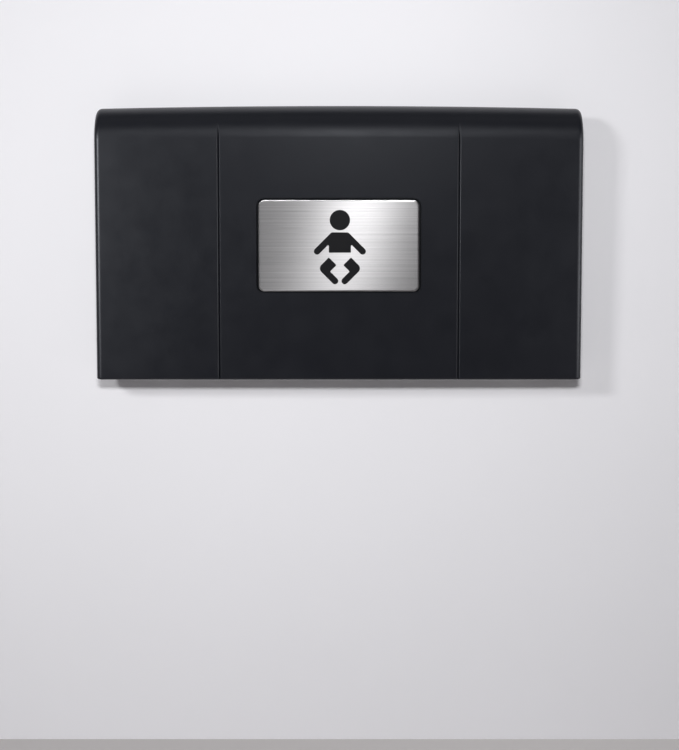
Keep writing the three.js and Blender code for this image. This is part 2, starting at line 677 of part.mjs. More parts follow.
function bedTray() {
  const flange = alongY(bedOutline(), Y_BED, Y_TRAY_BACK);
  const postZ = HINGE.z + BEAM_CENTRE_ABOVE_HINGE;
  const posts = beamPosts().map((x) => (
    barY(BOSS_RADIUS, Y_BED - TRAY_WALL / 2, Y_TRAY_BACK - BEAM_STANDOFF, x, postZ, 12)));
  const armSlots = [-1, 1].map((side) => {
    const x = (side * HINGE_SPACING) / 2;
    const half = ARM_THICKNESS / 2 + 2 * FIT;
    const reach = ARM_EYE_RADIUS + ARM_CLEARANCE;
    const shape = rectangle(x - half, HINGE.z - reach, x + half, HINGE.z + reach);
    return alongY(shape, Y_BED + PAST, Y_TRAY_BACK - PAST);
  });
  const { shut, down } = damperCrossings();
  const top = shut + 2 * DAMPER_SLOT_HALF;
  const bottom = Math.max(down - DAMPER_SLOT_HALF, Z_BOTTOM + 2 * COVER_WALL);
  const [slotLeft, slotRight] = [DAMPER_X - DAMPER_SLOT_HALF, DAMPER_X + DAMPER_SLOT_HALF];
  const slot = roundedRectangle(slotLeft, bottom, slotRight, top, DAMPER_SLOT_HALF / 2);
  const damperSlot = alongY(slot, Y_BED + PAST, Y_TRAY_BACK - PAST);
  const screwHoles = bossPlaces().map(({ x, z }) => (
    barY(BOSS_HOLE_RADIUS + FIT, Y_BED + PAST, Y_TRAY_BACK - PAST, x, z, 8)));
  const body = join(flange, basinForm(TRAY_WALL, TRAY_WALL / 2), ...posts);
  return cut(body, basinForm(0, -PAST), ...armSlots, damperSlot, ...screwHoles);
}

function wallPlate() {
  const half = WALL_PLATE_WIDTH / 2;
  const outline = roundedRectangle(
    -half, Z_BOTTOM + WALL_PLATE_FOOT_MARGIN, half, Z_TOP - WALL_PLATE_TOP_MARGIN, PAN_CORNER);
  outline.holes = [...screwPlaces().map(({ x, z }) => slotHole(x, z)),
    ...boltPlaces().map(({ x, z }) => disc(x, z, SHELL_BOLT_RADIUS + FIT))];
  return alongY(outline, 0, -PLATE_STEEL, { curveSegments: 4 });
}

// Places of the wall screws, at the spacing of wall studs
function screwPlaces() {
  return [-1, 1].flatMap((row) => [-0.5, 0.5].map((column) => (
    { x: column * STUD_SPACING, z: (row * SCREW_ROW_SPACING) / 2 })));
}

function boltPlaces() {
  return [-1, 1].flatMap((row) => [-1, 1].map((column) => (
    { x: (column * SHELL_BOLT_SPACING_X) / 2, z: (row * SHELL_BOLT_SPACING_Z) / 2 })));
}

function slotHole(x, z) {
  const half = SCREW_SLOT_LENGTH / 2;
  const radius = SCREW_SLOT_RADIUS;
  return roundedRectangle(x - half, z - radius, x + half, z + radius, radius);
}

// Corners of the pan where the bumper posts stand
function postPlaces() {
  const x = PAN_WIDTH / 2 - POST_FROM_EDGE;
  return {
    bumper_upper_left: { x: -x, z: PAN_TOP - POST_FROM_EDGE },
    bumper_upper_right: { x, z: PAN_TOP - POST_FROM_EDGE },
    bumper_lower_left: { x: -x, z: PAN_BOTTOM + POST_FROM_EDGE },
    bumper_lower_right: { x: DAMPER_X - BUMPER_FROM_DAMPER, z: PAN_BOTTOM + POST_FROM_EDGE },
  };
}

const POST_FRONT = Y_BED + BUMPER_HEIGHT + 2 * FIT;

function backShell() {
  const half = PAN_WIDTH / 2;
  const outline = roundedRectangle(-half, PAN_BOTTOM, half, PAN_TOP, PAN_CORNER);
  const outer = alongY(outline, Y_SHELL_BACK, -PAN_DEPTH);
  const inside = roundedRectangle(
    -half + PAN_WALL, PAN_BOTTOM + PAN_WALL, half - PAN_WALL, PAN_TOP - PAN_WALL, PAN_CORNER - PAN_WALL);
  const hollow = alongY(inside, Y_SHELL_FACE, -PAN_DEPTH - PAST);
  const places = Object.values(postPlaces());
  const posts = places.map(({ x, z }) => barY(POST_RADIUS, Y_SHELL_BACK - PAST, POST_FRONT, x, z, 16));
  const sockets = places.map(({ x, z }) => (
    barY(POST_RADIUS / 2, POST_FRONT + BUMPER_SEAT_DEPTH + FIT, POST_FRONT - PAST, x, z, 12)));
  const access = screwPlaces().map(({ x, z }) => (
    barY(ACCESS_HOLE_RADIUS, Y_SHELL_BACK + PAST, Y_SHELL_FACE - PAST, x, z, 20)));
  const boltHoles = boltPlaces().map(({ x, z }) => (
    barY(SHELL_BOLT_RADIUS + FIT, Y_SHELL_BACK + PAST, Y_SHELL_FACE - PAST, x, z, 12)));
  const [notchLeft, notchRight] = [DAMPER_X - DAMPER_SLOT_HALF, DAMPER_X + DAMPER_SLOT_HALF];
  const notch = alongZ(
    rectangle(notchLeft, -PAN_DEPTH - PAST, notchRight, Y_SHELL_FACE),
    PAN_BOTTOM - PAST, PAN_BOTTOM + PAN_WALL + PAST);
  return cut(join(cut(outer, hollow), ...posts), ...sockets, ...access, ...boltHoles, notch);
}

// A rubber buffer: a domed cap with a stem that plugs into its post
function bumper({ x, z }) {
  const seat = POST_FRONT - FIT;
  const stem = POST_RADIUS / 2 - FIT;
  const geometry = turnedY([
    [0, seat + BUMPER_SEAT_DEPTH],
    [stem, seat + BUMPER_SEAT_DEPTH],
    [stem, seat],
    [POST_RADIUS, seat],
    ...BUMPER_DOME.map(([wide, high]) => [POST_RADIUS * wide, seat - BUMPER_HEIGHT * high]),
    [0, seat - BUMPER_HEIGHT],
  ], 16);
  return geometry.translate(x, 0, z);
}

// A flanged bolt whose hexagon head lies on the shell
function shellBolt({ x, z }) {
  const seat = Y_SHELL_FACE - FIT;
  const shank = barY(SHELL_BOLT_RADIUS, -FIT, seat - WASHER_HEIGHT / 2, x, z, 12);
  const washer = barY(WASHER_RADIUS, seat, seat - WASHER_HEIGHT, x, z, 18);
  const hexagon = barY(BOLT_HEAD_RADIUS, seat - WASHER_HEIGHT / 2, seat - BOLT_HEAD_HEIGHT, x, z, 6);
  return join(washer, shank, hexagon);
}

// A pocket with an open top, and a notch in its front for the fingers
function linerPocket() {
  const back = Y_SHELL_FACE - FIT;
  const front = back - POCKET_DEPTH;
  const half = POCKET_WIDTH / 2;
  const top = POCKET_FOOT_Z + POCKET_HEIGHT;
  const body = alongY(roundedRectangle(-half, POCKET_FOOT_Z, half, top, POCKET_CORNER), back, front);
  const inner = half - POCKET_WALL;
  const room = alongZ(
    rectangle(-inner, front + POCKET_WALL, inner, back - POCKET_WALL),
    POCKET_FOOT_Z + POCKET_WALL, top + PAST);
  const notchHalf = NOTCH_WIDTH / 2;
  const notch = alongY(
    roundedRectangle(-notchHalf, top - NOTCH_DEPTH, notchHalf, top + NOTCH_WIDTH, NOTCH_CORNER),
    front + POCKET_WALL + PAST, front - PAST);
  return cut(body, room, notch);
}

// A J-shaped hook bent from strip, with its back on the shell
function bagHook(side) {
  const x = (side * HOOK_SPACING) / 2;
  const back = Y_SHELL_FACE - FIT - HOOK_STEEL / 2;
  const bowl = (HOOK_GAP + HOOK_STEEL) / 2;
  const bend = arc(back - bowl, HOOK_BOWL_Z, bowl, 0, -Math.PI, 8);
  const tip = [back - 2 * bowl, HOOK_BOWL_Z + HOOK_TIP];
  const shape = band([[back, HOOK_BOWL_Z + HOOK_BACK], ...bend, tip], HOOK_STEEL);
  return alongX(shape, x - HOOK_WIDTH / 2, x + HOOK_WIDTH / 2);
}

// A clevis: a web on the wall plate and two ears round the hinge pin
function hingeBracket(side) {
  const x = (side * HINGE_SPACING) / 2;
  const outside = BRACKET_GAP / 2 + BRACKET_STEEL;
  const foot = Z_BOTTOM + WALL_PLATE_FOOT_MARGIN;
  const head = HINGE.z + EAR_RADIUS;
  const web = alongY(rectangle(x - outside, foot, x + outside, head), Y_SHELL_BACK, WEB_FACE);
  const ear = new THREE.Shape();
  ear.moveTo(WEB_FACE + PAST, head);
  ear.lineTo(HINGE.y, head);
  ear.absarc(HINGE.y, HINGE.z, EAR_RADIUS, Math.PI / 2, 1.5 * Math.PI);
  ear.lineTo(WEB_FACE + PAST, foot);
  ear.closePath();
  const sides = [x - outside, x + BRACKET_GAP / 2];
  const ears = sides.map((from) => alongX(ear, from, from + BRACKET_STEEL, 6));
  const bore = barX(PIN_BORE, x - outside - PAST, x + outside + PAST, HINGE.y, HINGE.z);
  return cut(join(web, ...ears), bore);
}

// A headed pin with a groove for its clip
function hingePin(side) {
  const outside = BRACKET_GAP / 2 + BRACKET_STEEL + FIT;
  const groove = outside + FIT;
  const geometry = turnedX([
    [0, -outside - PIN_HEAD_HEIGHT],
    [PIN_HEAD_RADIUS, -outside - PIN_HEAD_HEIGHT],
    [PIN_HEAD_RADIUS, -outside],
    [PIN_RADIUS, -outside],
    [PIN_RADIUS, groove - FIT],
    [PIN_RADIUS - CLIP_GROOVE, groove - FIT],
    [PIN_RADIUS - CLIP_GROOVE, groove + CLIP_THICKNESS + FIT],
    [PIN_RADIUS, groove + CLIP_THICKNESS + FIT],
    [PIN_RADIUS, outside + PIN_TAIL],
    [0, outside + PIN_TAIL],
  ]);
  if (side > 0) geometry.rotateY(Math.PI);
  return geometry.translate((side * HINGE_SPACING) / 2, HINGE.y, HINGE.z);
}

// An open ring that sits in the pin's groove
function pinClip(side) {
  const inner = PIN_RADIUS - CLIP_GROOVE + FIT;
  const mouth = Math.asin((inner * CLIP_MOUTH_SHARE) / CLIP_RADIUS);
  const near = BRACKET_GAP / 2 + BRACKET_STEEL + 2 * FIT;
  const x = (side * HINGE_SPACING) / 2 - side * (near + CLIP_THICKNESS / 2);
  const shape = new THREE.Shape();
  const down = -Math.PI / 2;
  const innerMouth = Math.asin(CLIP_MOUTH_SHARE);
  shape.absarc(HINGE.y, HINGE.z, CLIP_RADIUS, down + mouth, down - mouth + 2 * Math.PI, false);
  shape.absarc(HINGE.y, HINGE.z, inner, down - innerMouth + 2 * Math.PI, down + innerMouth, true);
  shape.closePath();
  return alongX(shape, x - CLIP_THICKNESS / 2, x + CLIP_THICKNESS / 2, 10);
}

// An arm of thick plate: an eye on the pin, a toe that stops the bed, a leg and a tab on the beam
function hingeArm(side) {
  const x = (side * HINGE_SPACING) / 2;
  const half = ARM_THICKNESS / 2;
  const toe = WEB_FACE - FIT - HINGE.y;
  const beamFace = Y_TRAY_BACK - BEAM_STANDOFF - FIT;
  const legBack = beamFace + ARM_TAB_THICKNESS + FIT;
  const legFront = legBack - ARM_LEG_WIDTH;
  const legTop = HINGE.z + BEAM_CENTRE_ABOVE_HINGE + BEAM_HEIGHT / 2;
  const shape = new THREE.Shape();
  shape.absarc(HINGE.y, HINGE.z, ARM_EYE_RADIUS, -Math.PI / 2, Math.asin(ARM_NECK / ARM_EYE_RADIUS), false);
  shape.lineTo(legBack, HINGE.z + ARM_NECK);
  shape.lineTo(legBack, legTop);
  shape.lineTo(legFront, legTop);
  shape.lineTo(legFront, HINGE.z + ARM_NECK - ARM_HAUNCH);
  shape.lineTo(legFront + ARM_LEG_WIDTH / 2, HINGE.z - ARM_NECK);
  shape.lineTo(HINGE.y - TOE_OFFSET - TOE_WIDTH, HINGE.z - ARM_NECK);
  shape.lineTo(HINGE.y - TOE_OFFSET - TOE_WIDTH, HINGE.z - toe);
  shape.lineTo(HINGE.y - TOE_OFFSET, HINGE.z - toe);
  shape.closePath();
  const plate = alongX(shape, x - half, x + half, 10);
  const beamMiddle = HINGE.z + BEAM_CENTRE_ABOVE_HINGE;
  const [tabLeft, tabRight] = side < 0 ? [x, x + ARM_TAB_LENGTH] : [x - ARM_TAB_LENGTH, x];
  const tabHalf = ARM_TAB_HEIGHT / 2;
  const tab = alongY(
    rectangle(tabLeft, beamMiddle - tabHalf, tabRight, beamMiddle + tabHalf),
    legBack, legBack - ARM_TAB_THICKNESS);
  const bore = barX(BUSH_RADIUS + FIT, x - half - PAST, x + half + PAST, HINGE.y, HINGE.z);
  return cut(join(plate, tab), bore);
}

// A plain sleeve that turns on the pin and spaces the arm between the ears
function hingeBush(side) {
  const half = BRACKET_GAP / 2 - FIT;
  const geometry = turnedX([
    [PIN_BORE, -half],
    [BUSH_RADIUS, -half],
    [BUSH_RADIUS, half],
    [PIN_BORE, half],
    [PIN_BORE, -half],
  ]);
  return geometry.translate((side * HINGE_SPACING) / 2, HINGE.y, HINGE.z);
}

// A channel of folded steel between the two arms, with its web against the tray's posts
function bedBeam() {
  const back = Y_TRAY_BACK - BEAM_STANDOFF - FIT;
  const front = back - BEAM_DEPTH;
  const middle = HINGE.z + BEAM_CENTRE_ABOVE_HINGE;
  const half = BEAM_HEIGHT / 2;
  const shape = polygon([
    [back, middle - half],
    [back, middle + half],
    [front, middle + half],
    [front, middle + half - BEAM_STEEL],
    [back - BEAM_STEEL, middle + half - BEAM_STEEL],
    [back - BEAM_STEEL, middle - half + BEAM_STEEL],
    [front, middle - half + BEAM_STEEL],
    [front, middle - half],
  ]);
  const end = HINGE_SPACING / 2 - ARM_THICKNESS / 2 - FIT;
  return alongX(shape, -end, end);
}

// An angle bracket with one ear beside the damper's eye and a foot on the shell
function damperBracket() {
  const inner = DAMPER_X + DAMPER_EYE_WIDTH / 2 + FIT;
  const back = Y_SHELL_FACE - FIT;
  const tall = DAMPER_EYE_RADIUS + LUG_FOOT_MARGIN;
  const foot = alongY(
    rectangle(inner, UPPER_PIVOT.z - tall, inner + LUG_FOOT_WIDTH, UPPER_PIVOT.z + tall),
    back, back - LUG_STEEL);
  const shape = new THREE.Shape();
  shape.moveTo(back, UPPER_PIVOT.z + DAMPER_EYE_RADIUS);
  shape.absarc(UPPER_PIVOT.y, UPPER_PIVOT.z, DAMPER_EYE_RADIUS, Math.PI / 2, 1.5 * Math.PI);
  shape.lineTo(back, UPPER_PIVOT.z - DAMPER_EYE_RADIUS);
  shape.closePath();
  const ear = alongX(shape, inner, inner + LUG_STEEL, 6);
  const outer = inner + LUG_STEEL;
  const bore = barX(STUD_RADIUS + FIT, inner - PAST, outer + PAST, UPPER_PIVOT.y, UPPER_PIVOT.z, 16);
  const headRoom = barX(
    STUD_HEAD_RADIUS + FIT, outer, outer + STUD_HEAD_HEIGHT + 3 * FIT, UPPER_PIVOT.y, UPPER_PIVOT.z, 16);
  return cut(join(foot, ear), bore, headRoom);
}

// An angle bracket with one ear beside the rod's eye and a foot on the bottom of the cover
function damperLug() {
  const inner = DAMPER_X + DAMPER_EYE_WIDTH / 2 + FIT;
  const seat = Z_BOTTOM + COVER_WALL + FIT;
  const [front, back] = [
    LOWER_PIVOT.y - DAMPER_EYE_RADIUS, LOWER_PIVOT.y + DAMPER_EYE_RADIUS + LUG_FOOT_MARGIN + LUG_FOOT_TAIL];
  const foot = alongZ(rectangle(inner, front, inner + LUG_FOOT_WIDTH, back), seat, seat + LUG_STEEL);
  const shape = new THREE.Shape();
  shape.moveTo(front, seat);
  shape.lineTo(back, seat);
  shape.lineTo(LOWER_PIVOT.y + DAMPER_EYE_RADIUS, LOWER_PIVOT.z);
  shape.absarc(LOWER_PIVOT.y, LOWER_PIVOT.z, DAMPER_EYE_RADIUS, 0, Math.PI);
  shape.closePath();
  const outer = inner + LUG_STEEL;
  const ear = alongX(shape, inner, outer, 6);
  const bore = barX(STUD_RADIUS + FIT, inner - PAST, outer + PAST, LOWER_PIVOT.y, LOWER_PIVOT.z, 16);
  return cut(join(foot, ear), bore);
}

// A riveted stud through an eye and the ear beside it
function damperStud(pivot) {
  const eyeSide = DAMPER_X - DAMPER_EYE_WIDTH / 2 - FIT;
  const earSide = DAMPER_X + DAMPER_EYE_WIDTH / 2 + LUG_STEEL + 2 * FIT;
  const geometry = turnedX([
    [0, eyeSide - STUD_HEAD_HEIGHT],
    [STUD_HEAD_RADIUS, eyeSide - STUD_HEAD_HEIGHT],
    [STUD_HEAD_RADIUS, eyeSide],
    [STUD_RADIUS, eyeSide],
    [STUD_RADIUS, earSide],
    [STUD_HEAD_RADIUS, earSide],
    [STUD_HEAD_RADIUS, earSide + STUD_HEAD_HEIGHT],
    [0, earSide + STUD_HEAD_HEIGHT],
  ], 16);
  return geometry.translate(0, pivot.y, pivot.z);
}

// An eye about X, with what is joined to it before it is bored
function eyeEnd(joined) {
  const half = DAMPER_EYE_WIDTH / 2;
  const eye = barX(DAMPER_EYE_RADIUS, -half, half, 0, 0, 18);
  const bore = barX(STUD_RADIUS + FIT, -half - PAST, half + PAST, 0, 0, 16);
  return cut(join(eye, ...joined), bore);
}

const TUBE_BORE = DAMPER_TUBE_RADIUS - DAMPER_TUBE_WALL;
const TUBE_FOOT = -(DAMPER_SHANK + DAMPER_TUBE_LENGTH);

// The cylinder, in its own frame: its eye at the origin and the rod's end towards -Z
function damperCylinder() {
  const parts = new THREE.Group();
  const plugFoot = -(DAMPER_SHANK + DAMPER_PLUG);
  const cap = turnedZ([
    [0, 0],
    [DAMPER_TUBE_RADIUS, -DAMPER_CAP_RISE],
    [DAMPER_TUBE_RADIUS, -DAMPER_SHANK + FIT],
    [TUBE_BORE - FIT, -DAMPER_SHANK + FIT],
    [TUBE_BORE - FIT, plugFoot],
    [0, plugFoot],
  ], 18);
  named(parts, 'damper_tail_eye', eyeEnd([cap]), zincSteel);
  named(parts, 'damper_tube', turnedZ([
    [TUBE_BORE, -DAMPER_SHANK],
    [DAMPER_TUBE_RADIUS, -DAMPER_SHANK],
    [DAMPER_TUBE_RADIUS, TUBE_FOOT],
    [TUBE_BORE, TUBE_FOOT],
    [TUBE_BORE, -DAMPER_SHANK],
  ], 18), blackSteel);
  named(parts, 'damper_gland', turnedZ([
    [DAMPER_ROD_RADIUS + FIT, TUBE_FOOT + GLAND_DEPTH],
    [TUBE_BORE - FIT, TUBE_FOOT + GLAND_DEPTH],
    [TUBE_BORE - FIT, TUBE_FOOT - FIT],
    [DAMPER_TUBE_RADIUS, TUBE_FOOT - FIT],
    [DAMPER_TUBE_RADIUS - GLAND_CHAMFER, TUBE_FOOT - GLAND_LIP],
    [DAMPER_ROD_RADIUS + FIT, TUBE_FOOT - GLAND_LIP],
    [DAMPER_ROD_RADIUS + FIT, TUBE_FOOT + GLAND_DEPTH],
  ], 18), nylon);
  return parts;
}

// The rod, in its own frame: its eye at the origin and the cylinder towards +Z
function damperRod() {
  const parts = new THREE.Group();
  const head = DAMPER_LENGTH - DAMPER_SHANK - DAMPER_PLUG - PISTON_END_GAP;
  const pistonFoot = head - PISTON_HEIGHT;
  const neck = PISTON_NECK_RADIUS;
  const tail = DAMPER_EYE_RADIUS + FIT;
  named(parts, 'damper_rod_eye', eyeEnd([]), zincSteel);
  named(parts, 'damper_rod', turnedZ([
    [0, tail],
    [DAMPER_ROD_RADIUS, tail],
    [DAMPER_ROD_RADIUS, pistonFoot],
    [neck, pistonFoot],
    [neck, head],
    [0, head],
  ], 16), zincSteel);
  const rim = TUBE_BORE - FIT;
  named(parts, 'damper_piston', turnedZ([
    [neck + FIT, pistonFoot + FIT],
    [rim, pistonFoot + FIT],
    [rim, head],
    [neck + FIT, head],
    [neck + FIT, pistonFoot + FIT],
  ], 18), nylon);
  return parts;
}

// The y of a height above the basin's floor
function aboveFloor(height) {
  return BASIN.floor + height;
}

const ANCHORS = {
  lower: { z: BASIN.low + ANCHOR_FROM_BASIN },
  upper: { z: BASIN.high - ANCHOR_FROM_BASIN },
};

// A bridge of bent strip, screwed to the floor on both sides of the strap
function strapAnchor({ z }) {
  const half = STRAP_WIDTH / 2 + ANCHOR_WIRE;
  const foot = aboveFloor(FIT + ANCHOR_WIRE / 2);
  const bridge = aboveFloor(FIT + ANCHOR_WIRE / 2 + ANCHOR_BRIDGE_RISE);
  const shape = band([
    [-half - ANCHOR_FOOT, foot],
    [-half - ANCHOR_WIRE, foot],
    [-half, bridge],
    [half, bridge],
    [half + ANCHOR_WIRE, foot],
    [half + ANCHOR_FOOT, foot],
  ], ANCHOR_WIRE);
  return facingOut(alongZ(shape, z - ANCHOR_DEPTH / 2, z + ANCHOR_DEPTH / 2));
}

const BUCKLE = {
  low: BUCKLE_CENTRE_Z - BUCKLE_LENGTH / 2,
  high: BUCKLE_CENTRE_Z + BUCKLE_LENGTH / 2,
  slotEnd: BUCKLE_CENTRE_Z - BUCKLE_LENGTH / 2 + BUCKLE_BAR + BUCKLE_SLOT,
  baseTop: BUCKLE_BASE_RISE + BUCKLE_STEEL,
};
const LEVER_PIN = { y: aboveFloor(LEVER_PIN_RISE), z: BUCKLE.high - LEVER_PIN_FROM_END };
const UNDER_LAYER = FIT + STRAP_THICKNESS / 2;
const BASE_LAYER = BUCKLE.baseTop + FIT + STRAP_THICKNESS / 2;

// Half a turn of strap round a bar, from its lower to its upper layer
function foldRound(z, away, low, high) {
  const radius = (high - low) / 2;
  return Array.from({ length: FOLD_STEPS + 1 }, (_, i) => {
    const turn = -Math.PI / 2 + (Math.PI * i) / FOLD_STEPS;
    return [aboveFloor(low + radius + radius * Math.sin(turn)), z + away * radius * Math.cos(turn)];
  });
}

// The strap's lower half: folded round the lower anchor and round the buckle's bar
function strapLower() {
  const { z } = ANCHORS.lower;
  const anchorTop = FIT + ANCHOR_WIRE + ANCHOR_BRIDGE_RISE + FIT + STRAP_THICKNESS / 2;
  const second = UNDER_LAYER + STRAP_THICKNESS + FIT;
  const rest = ANCHOR_DEPTH / 2;
  const anchorFold = foldRound(z - rest, -1, UNDER_LAYER, anchorTop).reverse();
  const barFold = foldRound(BUCKLE.low + BUCKLE_BAR, 1, UNDER_LAYER, BASE_LAYER);
  return bandAcrossStrap([
    [aboveFloor(second), z + STRAP_FOLD],
    [aboveFloor(second), z + rest + STRAP_DROP],
    [aboveFloor(anchorTop), z + rest],
    ...anchorFold,
    ...barFold,
    [aboveFloor(BASE_LAYER), BUCKLE.low],
    [aboveFloor(second), BUCKLE.low - STRAP_SLOPE],
    [aboveFloor(second), BUCKLE.low - STRAP_FOLD],
  ]);
}

// The strap's upper half: folded round the upper anchor, through the buckle and out as a loose tail
function strapUpper() {
  const { z } = ANCHORS.upper;
  const anchorTop = FIT + ANCHOR_WIRE + ANCHOR_BRIDGE_RISE + FIT + STRAP_THICKNESS / 2;
  const second = UNDER_LAYER + STRAP_THICKNESS + FIT;
  const rest = ANCHOR_DEPTH / 2;
  const tail = BASE_LAYER + STRAP_THICKNESS + FIT;
  const tailEnd = second + STRAP_THICKNESS + FIT;
  return bandAcrossStrap([
    [aboveFloor(second), z - STRAP_FOLD],
    [aboveFloor(second), z - rest - STRAP_DROP],
    [aboveFloor(anchorTop), z - rest],
    ...foldRound(z + rest, 1, UNDER_LAYER, anchorTop).reverse(),
    [aboveFloor(UNDER_LAYER), BUCKLE.high + STRAP_SLOPE],
    [aboveFloor(BASE_LAYER), BUCKLE.high + PAST],
    [aboveFloor(BASE_LAYER), BUCKLE.slotEnd + STRAP_STEP],
    [aboveFloor(tail), BUCKLE.slotEnd],
    [aboveFloor(tail), BUCKLE.low],
    [aboveFloor(tailEnd), BUCKLE.low - STRAP_SLOPE],
    [aboveFloor(tailEnd), BUCKLE.low - STRAP_TAIL],
  ]);
}

function bandAcrossStrap(path) {
  return facingOut(alongX(band(path, STRAP_THICKNESS), -STRAP_WIDTH / 2, STRAP_WIDTH / 2));
}

// The buckle's frame: a base with a slot for the strap, and two cheeks that hold the lever's pin
function buckleFrame() {
  const inner = STRAP_WIDTH / 2 + 2 * FIT;
  const outer = inner + BUCKLE_CHEEK;
  const base = alongZ(
    rectangle(-outer, aboveFloor(BUCKLE_BASE_RISE), outer, aboveFloor(BUCKLE.baseTop)),
    BUCKLE.low, BUCKLE.high);
  const cheek = new THREE.Shape();
  const low = aboveFloor(FIT);
  const high = aboveFloor(BUCKLE_CHEEK_HEIGHT);
  const shoulder = BUCKLE_CHEEK_HEIGHT / 2;
  cheek.moveTo(low, BUCKLE.low);
  cheek.lineTo(aboveFloor(shoulder), BUCKLE.low);
  cheek.lineTo(high, LEVER_PIN.z - shoulder);
  cheek.lineTo(high, BUCKLE.high - shoulder);
  cheek.lineTo(aboveFloor(shoulder), BUCKLE.high);
  cheek.lineTo(low, BUCKLE.high);
  cheek.closePath();
  const cheeks = [-outer, inner].map((from) => alongX(cheek, from, from + BUCKLE_CHEEK));
  const slot = alongY(
    rectangle(-inner, BUCKLE.low + BUCKLE_BAR, inner, BUCKLE.slotEnd),
    aboveFloor(BUCKLE.baseTop + PAST), aboveFloor(BUCKLE_BASE_RISE - PAST));
  const bore = barX(LEVER_PIN_RADIUS + FIT, -outer - PAST, outer + PAST, LEVER_PIN.y, LEVER_PIN.z, 14);
  return cut(join(base, ...cheeks), slot, bore);
}

// The cam lever: a hub on the pin, a toothed cam over the strap and a handle towards the hinge side
function buckleLever() {
  const inner = STRAP_WIDTH / 2 - FIT;
  const camFoot = aboveFloor(BASE_LAYER + STRAP_THICKNESS / 2 + 2 * FIT);
  const camFrom = LEVER_PIN.z - LEVER_HUB_RADIUS;
  const handleFoot = aboveFloor(BASE_LAYER + 1.5 * STRAP_THICKNESS + 3 * FIT);
  const tip = LEVER_PIN.z - LEVER_LENGTH;
  const shape = new THREE.Shape();
  shape.moveTo(LEVER_PIN.y, LEVER_PIN.z + LEVER_HUB_RADIUS);
  shape.absarc(LEVER_PIN.y, LEVER_PIN.z, LEVER_HUB_RADIUS, Math.PI / 2, 0, true);
  shape.lineTo(handleFoot + LEVER_TIP_THICKNESS, tip);
  shape.lineTo(handleFoot, tip);
  shape.lineTo(handleFoot, camFrom - LEVER_CAM_BACK);
  shape.lineTo(camFoot, camFrom - LEVER_CAM_FLAT);
  shape.lineTo(camFoot, camFrom);
  shape.lineTo(LEVER_PIN.y - LEVER_HUB_RADIUS, LEVER_PIN.z);
  shape.absarc(LEVER_PIN.y, LEVER_PIN.z, LEVER_HUB_RADIUS, Math.PI, Math.PI / 2, true);
  const body = facingOut(alongX(shape, -inner, inner, 6));
  const bore = barX(LEVER_PIN_RADIUS + FIT, -inner - PAST, inner + PAST, LEVER_PIN.y, LEVER_PIN.z, 14);
  return cut(body, bore);
}

function bucklePin() {
  const outer = STRAP_WIDTH / 2 + 2 * FIT + BUCKLE_CHEEK;
  return barX(LEVER_PIN_RADIUS, -outer, outer, LEVER_PIN.y, LEVER_PIN.z, 14);
}

const station = new THREE.Group();
station.name = 'changing_station';

const wallUnit = new THREE.Group();
station.add(wallUnit);
named(wallUnit, 'wall_plate', wallPlate(), zincSteel);
named(wallUnit, 'back_shell', backShell(), charcoalInner);
boltPlaces().forEach((place, i) => named(wallUnit, `shell_bolt_${i + 1}`, shellBolt(place), zincSteel));
Object.entries(postPlaces()).forEach(([name, place]) => named(wallUnit, name, bumper(place), rubber));
named(wallUnit, 'liner_pocket', linerPocket(), charcoal);
named(wallUnit, 'damper_bracket', damperBracket(), zincSteel);
named(wallUnit, 'damper_stud_upper', damperStud(UPPER_PIVOT), zincSteel);

const bed = new THREE.Group();
station.add(bed);
named(bed, 'bed_cover', bedCover(), charcoal);
named(bed, 'bed_tray', bedTray(), charcoalInner);
named(bed, 'sign_plate', signPlate(), brushedSteel);
named(bed, 'bed_beam', bedBeam(), zincSteel);
named(bed, 'damper_lug', damperLug(), zincSteel);
named(bed, 'damper_stud_lower', damperStud(LOWER_PIVOT), zincSteel);

for (const [word, side] of [['left', -1], ['right', 1]]) {
  named(wallUnit, `bag_hook_${word}`, bagHook(side), brushedSteel);
  named(wallUnit, `hinge_bracket_${word}`, hingeBracket(side), zincSteel);
  named(wallUnit, `hinge_pin_${word}`, hingePin(side), zincSteel);
  named(wallUnit, `pin_clip_${word}`, pinClip(side), blackSteel);
  named(bed, `hinge_arm_${word}`, hingeArm(side), zincSteel);
  named(bed, `hinge_bush_${word}`, hingeBush(side), nylon);
}

named(bed, 'strap_anchor_upper', strapAnchor(ANCHORS.upper), brushedSteel);
named(bed, 'strap_anchor_lower', strapAnchor(ANCHORS.lower), brushedSteel);
named(bed, 'strap_upper', strapUpper(), webbing);
named(bed, 'strap_lower', strapLower(), webbing);
named(bed, 'buckle_frame', buckleFrame(), blackSteel);
named(bed, 'buckle_lever', buckleLever(), blackSteel);
named(bed, 'buckle_pin', bucklePin(), zincSteel);

const cylinder = damperCylinder();
cylinder.position.set(DAMPER_X, UPPER_PIVOT.y, UPPER_PIVOT.z);
cylinder.rotation.x = DAMPER_TILT;
station.add(cylinder);

const rod = damperRod();
rod.position.set(DAMPER_X, LOWER_PIVOT.y, LOWER_PIVOT.z);
rod.rotation.x = DAMPER_TILT;
station.add(rod);

export default station;
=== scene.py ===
"""Looks of a wall-mounted baby changing station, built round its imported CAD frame. Metres throughout."""

